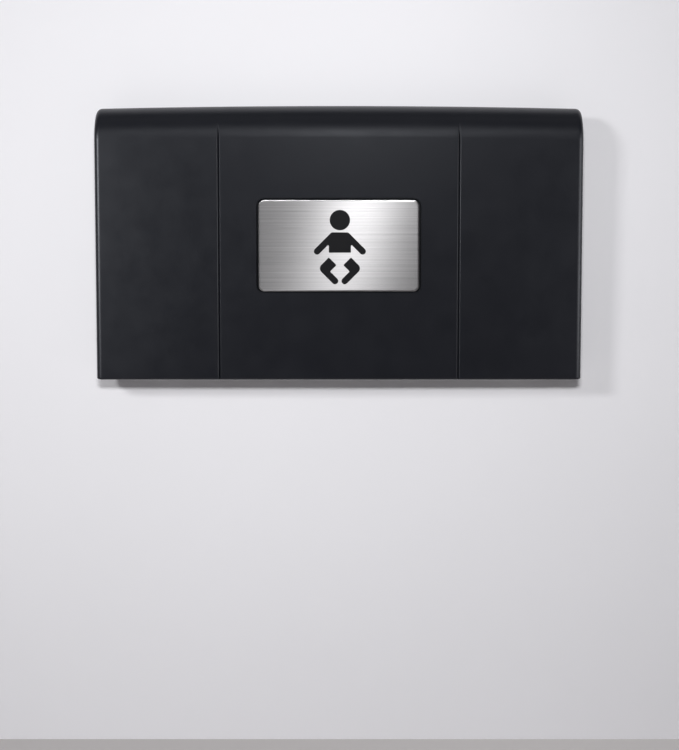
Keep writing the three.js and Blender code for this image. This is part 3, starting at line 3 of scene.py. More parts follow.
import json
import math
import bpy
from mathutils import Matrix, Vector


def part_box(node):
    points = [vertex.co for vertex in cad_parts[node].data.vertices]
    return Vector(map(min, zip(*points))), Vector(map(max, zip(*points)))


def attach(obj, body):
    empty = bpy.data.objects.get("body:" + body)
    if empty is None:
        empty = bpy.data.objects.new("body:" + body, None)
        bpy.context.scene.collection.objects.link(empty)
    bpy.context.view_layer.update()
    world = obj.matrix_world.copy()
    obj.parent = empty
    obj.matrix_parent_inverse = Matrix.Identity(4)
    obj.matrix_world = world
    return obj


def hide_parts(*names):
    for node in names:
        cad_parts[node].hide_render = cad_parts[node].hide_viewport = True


bl_info = {
    "name": "Changing Station Looks",
    "version": (1, 0, 0),
    "blender": (4, 5, 0),
    "location": "3D View > Sidebar > Station",
    "description": "Moulded skins, sign plate, strap, screws and finishes of a fold-down changing station",
    "category": "Object",
}

import bmesh
import bpy
from bpy.props import FloatProperty, FloatVectorProperty, PointerProperty
from mathutils import Matrix, Vector

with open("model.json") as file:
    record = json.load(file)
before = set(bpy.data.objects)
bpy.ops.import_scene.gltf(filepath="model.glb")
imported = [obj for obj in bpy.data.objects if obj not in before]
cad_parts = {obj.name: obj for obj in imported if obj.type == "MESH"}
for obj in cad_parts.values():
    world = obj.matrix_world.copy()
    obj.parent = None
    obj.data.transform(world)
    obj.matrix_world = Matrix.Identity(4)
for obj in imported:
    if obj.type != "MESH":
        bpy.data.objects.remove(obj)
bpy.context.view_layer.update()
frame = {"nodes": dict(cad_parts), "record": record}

# Forms that the CAD part and these looks share
HEIGHT = 0.510
WIDTH_TOP = 0.900
WIDTH_BOTTOM = 0.892
DEPTH_TOP = 0.104
DEPTH_BOTTOM = 0.092
FRONT_BOW = 0.005
TOP_CROWN = 0.005
COVER_WALL = 0.0035
BOTTOM_RADIUS = 0.004
GROOVE_SPACING = 0.442
PLATE_WIDTH = 0.295
PLATE_HEIGHT = 0.167
PLATE_RADIUS = 0.011
PLATE_THICKNESS = 0.0024
PLATE_CENTRE_Z = -0.010
RECESS_DEPTH = 0.003
FIT = 0.0003
Z_BOTTOM = -HEIGHT / 2
Y_BED = -0.040
TRAY_WALL = 0.003
Y_COVER_REAR = Y_BED - TRAY_WALL - FIT
BASIN = {"left": -0.395, "right": 0.395, "low": -0.166, "high": 0.223}
BASIN_DEPTH = 0.032
BASIN_FILLET = 0.028
BASIN_CORNER = 0.060
BASIN_DRAFT = math.radians(12)
HINGE_Z = -0.237
ARM_X = 0.330
DAMPER_X = 0.385

# How the grooves fade out on the roll in these looks
GROOVE_RUN_OUT = 0.028
GROOVE_START_ABOVE_ROLL_AXIS = 0.027


def length_property(name, description, default):
    return FloatProperty(name=name, description=description, default=default, unit="LENGTH")


def colour_property(name, description, default):
    return FloatVectorProperty(
        name=name, description=description, default=default, size=4, min=0, max=1, subtype="COLOR")


class StationSizes(bpy.types.PropertyGroup):
    """Sizes of the moulded and printed details"""

    roll_depth: length_property("Roll depth", "Half the depth of the oval rolled top", 0.050)
    roll_height: length_property("Roll height", "Half the height of the oval rolled top", 0.066)
    edge_radius: length_property("End radius", "Rounding of the bed's ends", 0.010)
    groove_width: length_property("Groove width", "Width of the grooves in the front", 0.0060)
    groove_depth: length_property("Groove depth", "Depth of the grooves in the front", 0.0030)
    plate_gap: length_property("Plate gap", "Shadow gap round the sign plate", 0.0034)
    gap_depth: length_property("Gap depth", "How far the shadow gap goes below the plate", 0.0025)
    plate_edge: length_property("Plate edge", "Width of the sign plate's rounded edge", 0.0032)
    plate_drop: length_property("Plate drop", "Depth of the sign plate's rounded edge", 0.0016)
    print_height: length_property("Print height", "Thickness of the printed symbol", 0.00012)
    rim_radius: length_property("Basin rim", "Rounding of the basin's rim", 0.005)
    strap_width: length_property("Strap width", "Width of the webbing", 0.040)
    strap_thickness: length_property("Strap thickness", "Thickness of the webbing", 0.0015)
    screw_radius: length_property("Screw head", "Radius of a screw head", 0.0042)
    metal_edge: length_property("Metal edge", "Softening of cut steel edges", 0.0005)


class StationColours(bpy.types.PropertyGroup):
    """Colours of the finishes"""

    cover: colour_property("Cover", "Charcoal of the moulded cover", (0.0052, 0.0057, 0.0092, 1))
    inner: colour_property("Inside", "Charcoal of the basin and the wall unit", (0.013, 0.0134, 0.0155, 1))
    plate: colour_property("Plate", "Brushed sign plate", (0.47, 0.464, 0.472, 1))
    hook: colour_property("Hooks", "Satin stainless fittings", (0.56, 0.565, 0.575, 1))
    zinc: colour_property("Zinc", "Zinc-plated steel", (0.42, 0.43, 0.44, 1))
    black: colour_property("Black steel", "Powder-coated steel", (0.012, 0.012, 0.013, 1))
    rod: colour_property("Rod", "Plated damper rod", (0.70, 0.71, 0.72, 1))
    rubber: colour_property("Rubber", "Bumpers", (0.010, 0.010, 0.010, 1))
    webbing: colour_property("Webbing", "Woven strap", (0.016, 0.016, 0.019, 1))
    nylon: colour_property("Nylon", "Bushes and glands", (0.68, 0.66, 0.60, 1))
    ink: colour_property("Ink", "Ink of the symbol", (0.006, 0.006, 0.008, 1))
    wall: colour_property("Wall", "Plain wall behind the station", (0.92, 0.915, 0.95, 1))
    floor: colour_property("Floor", "Plain pale floor", (0.46, 0.44, 0.435, 1))


class StationStage(bpy.types.PropertyGroup):
    """Camera and floor"""

    camera_distance: length_property("Camera distance", "From the wall", 2.3)
    camera_height: length_property("Camera height", "From the middle of the station", -0.2465)
    camera_side: length_property("Camera side", "To the right of the middle", 0.0013)
    floor_z: length_property("Floor height", "From the middle of the station", -0.943)
    lens: FloatProperty(
        name="Lens", description="Focal length in millimetres", default=57.73, unit="CAMERA")


def sizes():
    return bpy.context.scene.station_sizes


def colours():
    return bpy.context.scene.station_colours


# Node materials
BRUSHED_UV = "brushed"


class Nodes:
    """Adds, sets and links the nodes of one tree"""

    def __init__(self, tree):
        self.tree = tree

    def add(self, kind, **values):
        node = self.tree.nodes.new(kind)
        for name, value in values.items():
            setattr(node, name, value)
        return node

    def link(self, source, target):
        self.tree.links.new(source, target)

    def feed(self, node, **inputs):
        """Links sockets to a node's inputs and sets plain values; _ in a name stands for a space"""
        for name, value in inputs.items():
            socket = node.inputs[name.replace("_", " ")]
            if isinstance(value, bpy.types.NodeSocket):
                self.link(value, socket)
            else:
                socket.default_value = value
        return node


class Finish(Nodes):
    """A node material whose pattern lies in the piece's own Object or UV coordinates"""

    def __init__(self, name, colour, roughness, metallic):
        self.material = bpy.data.materials.new(name)
        self.material.use_nodes = True
        super().__init__(self.material.node_tree)
        self.shader = self.tree.nodes["Principled BSDF"]
        self.colour = tuple(colour)
        self.roughness = roughness
        self.shade(Base_Color=self.colour, Roughness=roughness, Metallic=metallic)

    def shade(self, **inputs):
        self.feed(self.shader, **inputs)

    def coordinates(self, source="Object", **values):
        place = self.add("ShaderNodeTexCoord").outputs[source]
        return self.feed(self.add("ShaderNodeMapping"), Vector=place, **values).outputs["Vector"]

    def noise(self, scale, detail, stretch=(1, 1, 1)):
        place = self.coordinates(Scale=stretch)
        node = self.add("ShaderNodeTexNoise")
        return self.feed(node, Vector=place, Scale=scale, Detail=detail).outputs["Fac"]

    def cells(self, scale, output):
        node = self.add("ShaderNodeTexVoronoi")
        return self.feed(node, Vector=self.coordinates(), Scale=scale).outputs[output]

    def spread(self, value, low, high, at_low=0.0, at_high=1.0):
        node = self.add("ShaderNodeMapRange")
        self.feed(node, Value=value, From_Min=low, From_Max=high, To_Min=at_low, To_Max=at_high)
        return node.outputs["Result"]

    def vary_colour(self, value, darker, lighter):
        ramp = self.add("ShaderNodeValToRGB")
        for element, factor in zip(ramp.color_ramp.elements, (darker, lighter)):
            element.color = (*(min(part * factor, 1) for part in self.colour[:3]), 1)
        self.shade(Base_Color=self.feed(ramp, Fac=value).outputs["Color"])

    def vary_roughness(self, value, change):
        low, high = self.roughness - change, self.roughness + change
        self.shade(Roughness=self.spread(value, 0.3, 0.7, low, high))

    def bump(self, value, strength, depth):
        node = self.feed(self.add("ShaderNodeBump"), Height=value, Strength=strength, Distance=depth)
        before = self.shader.inputs["Normal"].links
        if before:
            self.feed(node, Normal=before[0].from_socket)
        self.shade(Normal=node.outputs["Normal"])


def moulded_plastic(finish, grain_depth):
    finish.vary_colour(finish.noise(7, 4), 0.93, 1.07)
    finish.vary_roughness(finish.noise(26, 5), 0.025)
    finish.bump(finish.cells(1300, "Distance"), 0.35, grain_depth)
    finish.bump(finish.noise(9, 2), 0.25, 0.00025)
    finish.shade(Specular_Tint=(0.90, 0.93, 1, 1))


def brushed_plate(finish):
    """Steel brushed along the plate, so that its highlight spreads into a slightly slanted band"""
    finish.shade(Anisotropic=0.97, Anisotropic_Rotation=0.214)
    finish.vary_colour(finish.spread(finish.noise(1, 4, (1.6, 1, 640)), 0.3, 0.7), 0.82, 1.14)
    hairlines = finish.noise(1, 5, (6, 1, 2600))
    finish.vary_roughness(hairlines, 0.04)
    finish.bump(hairlines, 0.06, 0.00003)
    tangent = finish.add("ShaderNodeTangent", direction_type="UV_MAP", uv_map=BRUSHED_UV)
    finish.shade(Tangent=tangent.outputs["Tangent"])


def satin_steel(finish):
    finish.vary_colour(finish.noise(60, 5), 0.88, 1.08)
    finish.vary_roughness(finish.noise(180, 4, (1, 1, 8)), 0.05)
    finish.bump(finish.noise(900, 3, (1, 1, 6)), 0.08, 0.00005)


def zinc_plate(finish):
    finish.vary_colour(finish.spread(finish.cells(240, "Color"), 0, 1), 0.86, 1.10)
    finish.vary_roughness(finish.noise(75, 4), 0.08)
    finish.bump(finish.noise(500, 3), 0.10, 0.00006)


def powder_coat(finish):
    finish.vary_colour(finish.noise(40, 4), 0.8, 1.3)
    finish.vary_roughness(finish.noise(120, 3), 0.06)
    finish.bump(finish.noise(1400, 2), 0.25, 0.00008)


def soft_rubber(finish):
    finish.vary_colour(finish.noise(90, 4), 0.7, 1.6)
    finish.bump(finish.noise(1600, 3), 0.3, 0.00008)


def plain_nylon(finish):
    finish.vary_colour(finish.noise(50, 4), 0.92, 1.04)
    finish.bump(finish.noise(900, 2), 0.1, 0.00005)


def woven_webbing(finish):
    finish.shade(Sheen_Weight=0.25, Sheen_Roughness=0.45)
    weave = finish.add("ShaderNodeMath", operation="MAXIMUM")
    for turn, socket in zip((0.62, -0.62), weave.inputs):
        wave = finish.add("ShaderNodeTexWave", wave_type="BANDS", bands_direction="X")
        finish.feed(wave, Vector=finish.coordinates("UV", Rotation=(0, 0, turn)), Scale=175)
        finish.link(wave.outputs["Fac"], socket)
    finish.vary_colour(weave.outputs["Value"], 0.55, 1.5)
    finish.bump(weave.outputs["Value"], 0.8, 0.0003)


def printed_ink(finish):
    finish.shade(Specular_IOR_Level=0.3)
    finish.vary_colour(finish.noise(300, 4), 0.85, 1.2)
    finish.bump(finish.noise(2200, 2), 0.1, 0.00003)


def plain_matte(finish):
    finish.vary_colour(finish.noise(3, 3), 0.985, 1.015)


# The maker of each slot's material, its colour, roughness and metallic share, and the maker's own values
MAKERS = {
    "cover_plastic": (moulded_plastic, "cover", 0.36, 0, 0.00006),
    "inner_plastic": (moulded_plastic, "inner", 0.47, 0, 0.00012),
    "plate_steel": (brushed_plate, "plate", 0.31, 1),
    "hook_steel": (satin_steel, "hook", 0.30, 1),
    "zinc_steel": (zinc_plate, "zinc", 0.40, 1),
    "black_steel": (powder_coat, "black", 0.46, 0),
    "rod_chrome": (satin_steel, "rod", 0.12, 1),
    "bumper_rubber": (soft_rubber, "rubber", 0.80, 0),
    "strap_webbing": (woven_webbing, "webbing", 0.85, 0),
    "white_nylon": (plain_nylon, "nylon", 0.52, 0),
    "symbol_ink": (printed_ink, "ink", 0.42, 0),
    "stage_wall": (plain_matte, "wall", 0.75, 0),
    "stage_floor": (plain_matte, "floor", 0.75, 0),
}
FINISHES = {}


def finish_named(slot):
    """The node material of a slot, made once; the CAD frame's own materials have the plain slot names"""
    if slot not in FINISHES:
        maker, colour, roughness, metallic, *values = MAKERS[slot]
        finish = Finish(slot + "_look", getattr(colours(), colour), roughness, metallic)
        maker(finish, *values)
        FINISHES[slot] = finish.material
    return FINISHES[slot]


# Mesh tools
WELD_DISTANCE = 1e-6


def add_object(name, data):
    piece = bpy.data.objects.new(name, data)
    bpy.context.scene.collection.objects.link(piece)
    return piece


def paint(piece, slot):
    piece.data.materials.clear()
    piece.data.materials.append(finish_named(slot))


def new_object(name, points, faces, material):
    mesh = bpy.data.meshes.new(name)
    mesh.from_pydata([tuple(point) for point in points], [], faces)
    mesh.validate()
    piece = add_object(name, mesh)
    paint(piece, material)
    face_outwards(piece)
    return piece


def object_of(form, name):
    """A new object from an edit mesh, which is freed"""
    mesh = bpy.data.meshes.new(name)
    form.to_mesh(mesh)
    form.free()
    return add_object(name, mesh)


def weld(form):
    bmesh.ops.remove_doubles(form, verts=form.verts, dist=WELD_DISTANCE)


def face_outwards(piece):
    form = bmesh.new()
    form.from_mesh(piece.data)
    weld(form)
    bmesh.ops.recalc_face_normals(form, faces=form.faces)
    form.to_mesh(piece.data)
    form.free()


def add_modifier(piece, kind, **values):
    modifier = piece.modifiers.new(kind.lower(), kind)
    for name, value in values.items():
        setattr(modifier, name, value)
    return modifier


def made_plain(piece, sharp_angle=math.radians(32)):
    """The piece with its modifiers applied and smooth shading that breaks at sharp edges"""
    plain_mesh(piece)
    piece.data.shade_smooth()
    piece.data.set_sharp_from_angle(angle=sharp_angle)
    add_modifier(piece, "WEIGHTED_NORMAL", keep_sharp=True, weight=50)
    plain_mesh(piece)
    return piece


def plain_mesh(piece):
    graph = bpy.context.evaluated_depsgraph_get()
    mesh = bpy.data.meshes.new_from_object(
        piece.evaluated_get(graph), preserve_all_data_layers=True, depsgraph=graph)
    old = piece.data
    piece.modifiers.clear()
    piece.data = mesh
    bpy.data.meshes.remove(old)
    mesh.name = piece.name


def cut_away(piece, *tools):
    for tool in tools:
        add_modifier(piece, "BOOLEAN", operation="DIFFERENCE", solver="EXACT", object=tool)
    plain_mesh(piece)
    for tool in tools:
        mesh = tool.data
        bpy.data.objects.remove(tool)
        bpy.data.meshes.remove(mesh)


def settle(piece, body, slot, *nodes):
    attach(piece, body)
    if nodes:
        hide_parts(*nodes)
    return piece


def skin_faces(count, rings, first=0):
    """Faces through rings of as many points each, with a cap at both ends"""
    last = first + (rings - 1) * count
    faces = []
    for start in range(first, last, count):
        for j in range(count):
            k = (j + 1) % count
            faces.append((start + j, start + k, start + count + k, start + count + j))
    return faces + [tuple(range(end, end + count)) for end in (first, last)]


def loft(name, rings, material):
    """A closed skin through closed rings of points"""
    points = [point for ring in rings for point in ring]
    return new_object(name, points, skin_faces(len(rings[0]), len(rings)), material)


def prism(name, outline, front, back, material):
    """A flat outline of (x, z) points made a slab between two values of y"""
    return loft(name, [[(x, y, z) for x, z in outline] for y in (front, back)], material)


def arc_points(u, v, radius, start, end, steps, rise=None):
    """Points of an arc; a second radius makes it oval"""
    turns = [start + (end - start) * i / steps for i in range(steps + 1)]
    return [(u + radius * math.cos(turn), v + (rise or radius) * math.sin(turn)) for turn in turns]


def rounded_rectangle(u0, v0, u1, v1, radius, steps=12):
    quarter = math.pi / 2
    centres = [(u1, v0, 1, -1, -1), (u1, v1, 1, 1, 0), (u0, v1, -1, 1, 1), (u0, v0, -1, -1, 2)]
    return [
        point
        for u, v, du, dv, turn in centres
        for point in arc_points(
            u - du * radius, v - dv * radius, radius, turn * quarter, (turn + 1) * quarter, steps)
    ]


def rounded_polygon(corners):
    """An outline from (u, v, radius) corners, each rounded by its radius"""
    outline = []
    count = len(corners)
    steps = 8
    for i, (u, v, radius) in enumerate(corners):
        here = Vector((u, v))
        before = (Vector(corners[i - 1][:2]) - here).normalized()
        after = (Vector(corners[(i + 1) % count][:2]) - here).normalized()
        half = before.angle(after) / 2
        reach = radius / math.tan(half)
        centre = here + (before + after).normalized() * radius / math.sin(half)
        start, end = here + before * reach - centre, here + after * reach - centre
        for k in range(steps + 1):
            turned = start.slerp(end, k / steps).normalized() * radius
            outline.append(tuple(centre + turned))
    return outline


# The bed's moulded cover
ROLL_STEPS = 44
FRONT_STEPS = 48
FOOT_STEPS = 8
END_STEPS = 10
INNER_END_STEPS = 4
GROOVE_STEPS = 8
GROOVE_SOFTNESS = 1.5
SPAN_STEPS = 40
SMALLEST_RADIUS = 0.0005
LAND_MARGIN = 0.008


def roll_axis():
    return sizes().roll_depth - DEPTH_TOP, HEIGHT / 2 - sizes().roll_height


def roll_touch():
    """The angle on the oval roll where the flat front touches it"""
    y, z = roll_axis()
    stretch = sizes().roll_height / sizes().roll_depth
    back, up = y + DEPTH_BOTTOM, (z - Z_BOTTOM) / stretch
    return math.asin(sizes().roll_depth / math.hypot(back, up)) - math.atan2(back, up)


def front_lean():
    return math.atan(math.tan(roll_touch()) * sizes().roll_depth / sizes().roll_height)


def front_line(z, inset):
    axis_y, axis_z = roll_axis()
    touch = (sizes().roll_depth - inset) / math.cos(roll_touch())
    return axis_y - touch - (z - axis_z) * math.tan(front_lean())


def on_bed(x, y, z):
    across = (x / (WIDTH_TOP / 2)) ** 2
    rise = (z - Z_BOTTOM) / HEIGHT
    forward = (Y_BED - y) / (DEPTH_TOP + Y_BED)
    narrowing = (WIDTH_BOTTOM + (WIDTH_TOP - WIDTH_BOTTOM) * rise) / WIDTH_TOP
    return (x * narrowing, y + FRONT_BOW * across * forward, z - TOP_CROWN * across * rise)


def cover_section(inset, bottom_inset, rear):
    axis_y, axis_z = roll_axis()
    radius, rise = sizes().roll_depth - inset, sizes().roll_height - inset
    corner = max(BOTTOM_RADIUS - bottom_inset, SMALLEST_RADIUS)
    foot = Z_BOTTOM + bottom_inset
    centre_y = front_line(foot + corner, inset + corner)
    front_angle = math.pi + roll_touch()
    rear_angle = math.acos((Y_COVER_REAR - axis_y) / radius)
    tangent = axis_z - rise * math.sin(roll_touch())
    low = foot + corner
    heights = [low + (tangent - low) * i / FRONT_STEPS for i in range(1, FRONT_STEPS)]
    top = axis_z + rise * math.sin(rear_angle)
    section = [(rear, foot)]
    section += arc_points(centre_y, low, corner, 1.5 * math.pi, math.pi + front_lean(), FOOT_STEPS)
    section += [(front_line(z, inset), z) for z in heights]
    section += arc_points(axis_y, axis_z, radius, front_angle, rear_angle, ROLL_STEPS, rise)
    return section + ([(rear, top)] if rear > Y_COVER_REAR else [])


def groove_share(z):
    start = roll_axis()[1] + GROOVE_START_ABOVE_ROLL_AXIS
    return min(max((start - z) / GROOVE_RUN_OUT, 0), 1)


def groove_profile(x):
    """How far a groove is pressed in across its width: soft shoulders and a narrow foot"""
    off = abs(abs(x) - GROOVE_SPACING / 2)
    return max(1 - 2 * off / sizes().groove_width, 0) ** GROOVE_SOFTNESS


def cover_skin(name, places, rear, press):
    """A skin through the bed's sections at (x, inset, bottom inset) places, its front pressed in"""
    front = Y_COVER_REAR - BOTTOM_RADIUS - COVER_WALL
    rings = [
        [on_bed(x, y + (press(x, z) if y < front else 0), z) for y, z in cover_section(inset, low, rear)]
        for x, inset, low in places
    ]
    return loft(name, rings, "cover_plastic")


def end_rings(half_width, radius, bottom_radius, steps):
    rings = []
    for i in range(steps + 1):
        turn = math.pi / 2 * i / steps
        share = 1 - math.cos(turn)
        x = half_width - radius + radius * math.sin(turn)
        rings.append((x, radius * share, bottom_radius * share))
    return rings


def skin_places(half_width, radius, bottom_radius, wall, steps):
    """(x, inset, bottom inset) of every section, from the left end to the right end"""
    half_groove = sizes().groove_width / 2
    right = end_rings(half_width, radius, bottom_radius, steps)
    spaced = [half_width * i / SPAN_STEPS for i in range(SPAN_STEPS)]
    places = {round(x, 6) for x in spaced if x < right[0][0]}
    for i in range(-GROOVE_STEPS, GROOVE_STEPS + 1):
        places.add(round(GROOVE_SPACING / 2 + half_groove * i / GROOVE_STEPS, 6))
    right = [(x, 0, 0) for x in sorted(places)] + right
    left = [(-x, inset, low) for x, inset, low in reversed(right) if x > 0]
    return [(x, inset + wall, low + wall) for x, inset, low in left + right]


def front_press(x, z):
    return sizes().groove_depth * groove_profile(x) * groove_share(z)


def land_press(x, z):
    """The hollow's front stands back behind the plate, where the wall is thicker"""
    over_x = PLATE_WIDTH / 2 + LAND_MARGIN - abs(x)
    over_z = PLATE_HEIGHT / 2 + LAND_MARGIN - abs(z - PLATE_CENTRE_Z)
    return RECESS_DEPTH if min(over_x, over_z) > 0 else 0


def on_face(point):
    """A point laid on the bed's front at the plate, with -Y out of the face"""
    turn = Matrix.Rotation(front_lean(), 4, "X")
    return turn @ Vector(point) + Vector((0, front_line(PLATE_CENTRE_Z, 0), PLATE_CENTRE_Z))


def plate_ring(grow, y):
    """The plate's outline, grown by some amount, at a depth behind the bed's front"""
    w, h = PLATE_WIDTH / 2 + grow, PLATE_HEIGHT / 2 + grow
    return [on_face((x, y, z)) for x, z in rounded_rectangle(-w, -h, w, h, PLATE_RADIUS + grow)]


class StationCover(bpy.types.Operator):
    """Mould the bed's cover: rolled top, bowed front, two grooves and the recess for the plate"""

    bl_idname = "station.cover"
    bl_label = "Bed cover"

    def execute(self, context):
        s = sizes()
        places = skin_places(WIDTH_TOP / 2, s.edge_radius, BOTTOM_RADIUS, 0, END_STEPS)
        cover = cover_skin("bed_cover_skin", places, Y_COVER_REAR, front_press)
        radius = s.edge_radius - COVER_WALL
        places = skin_places(WIDTH_TOP / 2 - COVER_WALL, radius, radius, COVER_WALL, INNER_END_STEPS)
        inside = cover_skin("cover_inside", places, Y_COVER_REAR + COVER_WALL, land_press)
        gap_foot = RECESS_DEPTH + s.gap_depth
        rings = [
            plate_ring(s.plate_gap, -RECESS_DEPTH),
            plate_ring(s.plate_gap, gap_foot),
            plate_ring(-s.plate_edge, gap_foot),
            plate_ring(-s.plate_edge, RECESS_DEPTH),
        ]
        recess = loft("plate_recess", rings, "cover_plastic")
        cut_away(cover, inside, recess)
        made_plain(cover)
        settle(cover, "bed", "cover_plastic", "bed_cover")
        return {"FINISHED"}


# The sign plate and its symbol
EDGE_STEPS = 10
PRINT_SUNK = 0.0002
MILLIMETRE = 0.001
SYMBOL_ASIDE = 2.0
SYMBOL_RISE = 1.7


def symbol_outlines():
    """A plain figure of a baby, in millimetres from the middle of the plate"""
    head = arc_points(0, 45.2, 18.6, 0, 2 * math.pi, 64)[:-1]
    right_side = [
        (15.4, 22.9, 7), (50.1, -11.8, 5.9), (41.7, -20.2, 5.9), (20.2, 1.3, 1.5), (20.2, -14.3, 1.5)]
    left_side = [(-u, v, radius) for u, v, radius in reversed(right_side)]
    torso = rounded_polygon(right_side + left_side)
    leg = [
        (-20.3, -22.9, 1.5), (-6.2, -37.0, 1.5), (-17.9, -48.7, 1.5),
        (-0.5, -66.0, 5.9), (-8.9, -74.4, 5.9), (-40.4, -43.0, 9)]
    left_leg = rounded_polygon(leg)
    right_leg = [(-u, v) for u, v in left_leg]
    figure = (head, torso, left_leg, right_leg)
    return [[(u + SYMBOL_ASIDE, v + SYMBOL_RISE) for u, v in outline] for outline in figure]


class StationPlate(bpy.types.Operator):
    """Press the brushed sign plate and print its symbol"""

    bl_idname = "station.plate"
    bl_label = "Sign plate"

    def execute(self, context):
        s = sizes()
        back = RECESS_DEPTH - FIT
        front = back - PLATE_THICKNESS
        rear_edge = s.plate_drop / 3
        rings = [plate_ring(-rear_edge, back), plate_ring(0, back - rear_edge)]
        for i in range(EDGE_STEPS + 1):
            turn = math.pi / 2 * i / EDGE_STEPS
            grow = -s.plate_edge * (1 - math.cos(turn))
            rings.append(plate_ring(grow, front + s.plate_drop * (1 - math.sin(turn))))
        rings.append(plate_ring(-1.5 * s.plate_edge, front))
        plate = loft("sign_plate_brushed", rings, "plate_steel")
        uv = plate.data.uv_layers.new(name=BRUSHED_UV)
        for corner in plate.data.loops:
            place = plate.data.vertices[corner.vertex_index].co
            uv.data[corner.index].uv = (place.x, place.z)
        made_plain(plate)
        settle(plate, "bed", "plate_steel", "sign_plate")
        points, faces = [], []
        for outline in symbol_outlines():
            faces += skin_faces(len(outline), 2, len(points))
            for y in (front - s.print_height, front + PRINT_SUNK):
                points += [on_face((u * MILLIMETRE, y, v * MILLIMETRE)) for u, v in outline]
        symbol = made_plain(new_object("plate_symbol", points, faces, "symbol_ink"))
        settle(symbol, "bed", "plate_steel")
        return {"FINISHED"}


# The basin
CROWN_STEPS = 24
RIM_STEPS = 8
FILLET_STEPS = 18
CORNER_STEPS = 20
CUT_PAST = 0.001
ARM_SLOT = {"half_width": 0.0056, "half_height": 0.012, "radius": 0.002}
DAMPER_SLOT = {"half_width": 0.0105, "above_edge": 0.007, "top": -0.1788, "radius": 0.00525}


def bed_outline():
    ends = end_rings(WIDTH_TOP / 2, sizes().edge_radius, BOTTOM_RADIUS, END_STEPS)

    def top_of(inset):
        return cover_section(inset, 0, Y_COVER_REAR)[-1][1]

    def at(x, z):
        place = on_bed(x, Y_COVER_REAR, z)
        return place[0], place[2]

    right = [at(x, Z_BOTTOM + low) for x, _, low in ends]
    right += [at(x, top_of(inset)) for x, inset, _ in reversed(ends)]
    crown = [at(WIDTH_TOP * (0.5 - i / CROWN_STEPS), top_of(0)) for i in range(1, CROWN_STEPS)]
    return right + crown + [(-x, z) for x, z in reversed(right)]


def basin_profile():
    """(inset, depth) from the flat round the rim down to the floor"""
    rim = sizes().rim_radius
    draft = math.tan(BASIN_DRAFT)
    end = Vector((rim * draft, rim))
    start = Vector((-rim, 0))
    points = []
    for i in range(RIM_STEPS + 1):
        t = i / RIM_STEPS
        points.append(tuple(start * (1 - t) ** 2 + end * t * t))
    centre_depth = BASIN_DEPTH - BASIN_FILLET
    touch = centre_depth + BASIN_FILLET * math.sin(BASIN_DRAFT)
    centre_inset = touch * draft + BASIN_FILLET * math.cos(BASIN_DRAFT)
    fillet = arc_points(
        centre_inset, centre_depth, BASIN_FILLET, math.pi - BASIN_DRAFT, math.pi / 2, FILLET_STEPS)
    return points + [point for point in fillet if point[1] > rim]


def flat_between(form, outer, inner):
    """Fills the flat between an outer and an inner loop of points"""
    loops = []
    for loop in (outer, inner):
        verts = [form.verts.new(point) for point in loop]
        loops.append([form.edges.new((verts[i - 1], verts[i])) for i in range(len(verts))])
    bmesh.ops.triangle_fill(form, use_beauty=True, use_dissolve=False, edges=loops[0] + loops[1])


def basin_ring(inset, depth):
    outline = rounded_rectangle(
        BASIN["left"] + inset, BASIN["low"] + inset, BASIN["right"] - inset, BASIN["high"] - inset,
        BASIN_CORNER - inset, CORNER_STEPS)
    return [(x, Y_BED - depth, z) for x, z in outline]


def tray_slots():
    """(name, outline) of the slots that the hinge arms and the damper pass through"""
    half_width, half_height = ARM_SLOT["half_width"], ARM_SLOT["half_height"]
    low, high = HINGE_Z - half_height, HINGE_Z + half_height
    slots = [
        ("arm_slot", rounded_rectangle(x - half_width, low, x + half_width, high, ARM_SLOT["radius"], 4))
        for x in (-ARM_X, ARM_X)
    ]
    left, right = DAMPER_X - DAMPER_SLOT["half_width"], DAMPER_X + DAMPER_SLOT["half_width"]
    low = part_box("bed_tray")[0].z + DAMPER_SLOT["above_edge"]
    damper = rounded_rectangle(left, low, right, DAMPER_SLOT["top"], DAMPER_SLOT["radius"], 8)
    return slots + [("damper_slot", damper)]


class StationTray(bpy.types.Operator):
    """Mould the bed's inner side: the basin with its rounded rim and the slots for arms and damper"""

    bl_idname = "station.tray"
    bl_label = "Bed tray"

    def execute(self, context):
        rings = [basin_ring(inset, depth) for inset, depth in basin_profile()]
        form = bmesh.new()
        flat_between(form, [(x, Y_BED, z) for x, z in bed_outline()], rings[0])
        rows = [[form.verts.new(point) for point in ring] for ring in rings]
        count = len(rows[0])
        for upper, lower in zip(rows, rows[1:]):
            for j in range(count):
                form.faces.new((upper[j], upper[j - 1], lower[j - 1], lower[j]))
        form.faces.new(rows[-1])
        weld(form)
        bmesh.ops.recalc_face_normals(form, faces=form.faces)
        if sum(face.normal.y * face.calc_area() for face in form.faces) < 0:
            bmesh.ops.reverse_faces(form, faces=form.faces)
        tray = object_of(form, "bed_tray_skin")
        paint(tray, "inner_plastic")
        add_modifier(tray, "SOLIDIFY", thickness=TRAY_WALL, offset=-1, use_even_offset=True)
        plain_mesh(tray)
        front, rear = Y_BED - TRAY_WALL - CUT_PAST, Y_BED + CUT_PAST
        tools = [prism(name, outline, front, rear, "inner_plastic") for name, outline in tray_slots()]
        cut_away(tray, *tools)
        made_plain(tray)
        settle(tray, "bed", "inner_plastic", "bed_tray")
        return {"FINISHED"}


# Steel and moulded pieces that keep their CAD form, with softened edges
def softened(node, width):
    """A copy of a CAD node with its cut edges rounded"""
    form = bmesh.new()
    form.from_mesh(frame["nodes"][node].data)
    weld(form)
    bmesh.ops.dissolve_limit(form, angle_limit=math.radians(1), verts=form.verts, edges=form.edges)
    piece = object_of(form, node + "_finished")
    add_modifier(
        piece, "BEVEL", width=width, segments=2, limit_method="ANGLE",
        angle_limit=math.radians(40), use_clamp_overlap=True)
    return made_plain(piece)


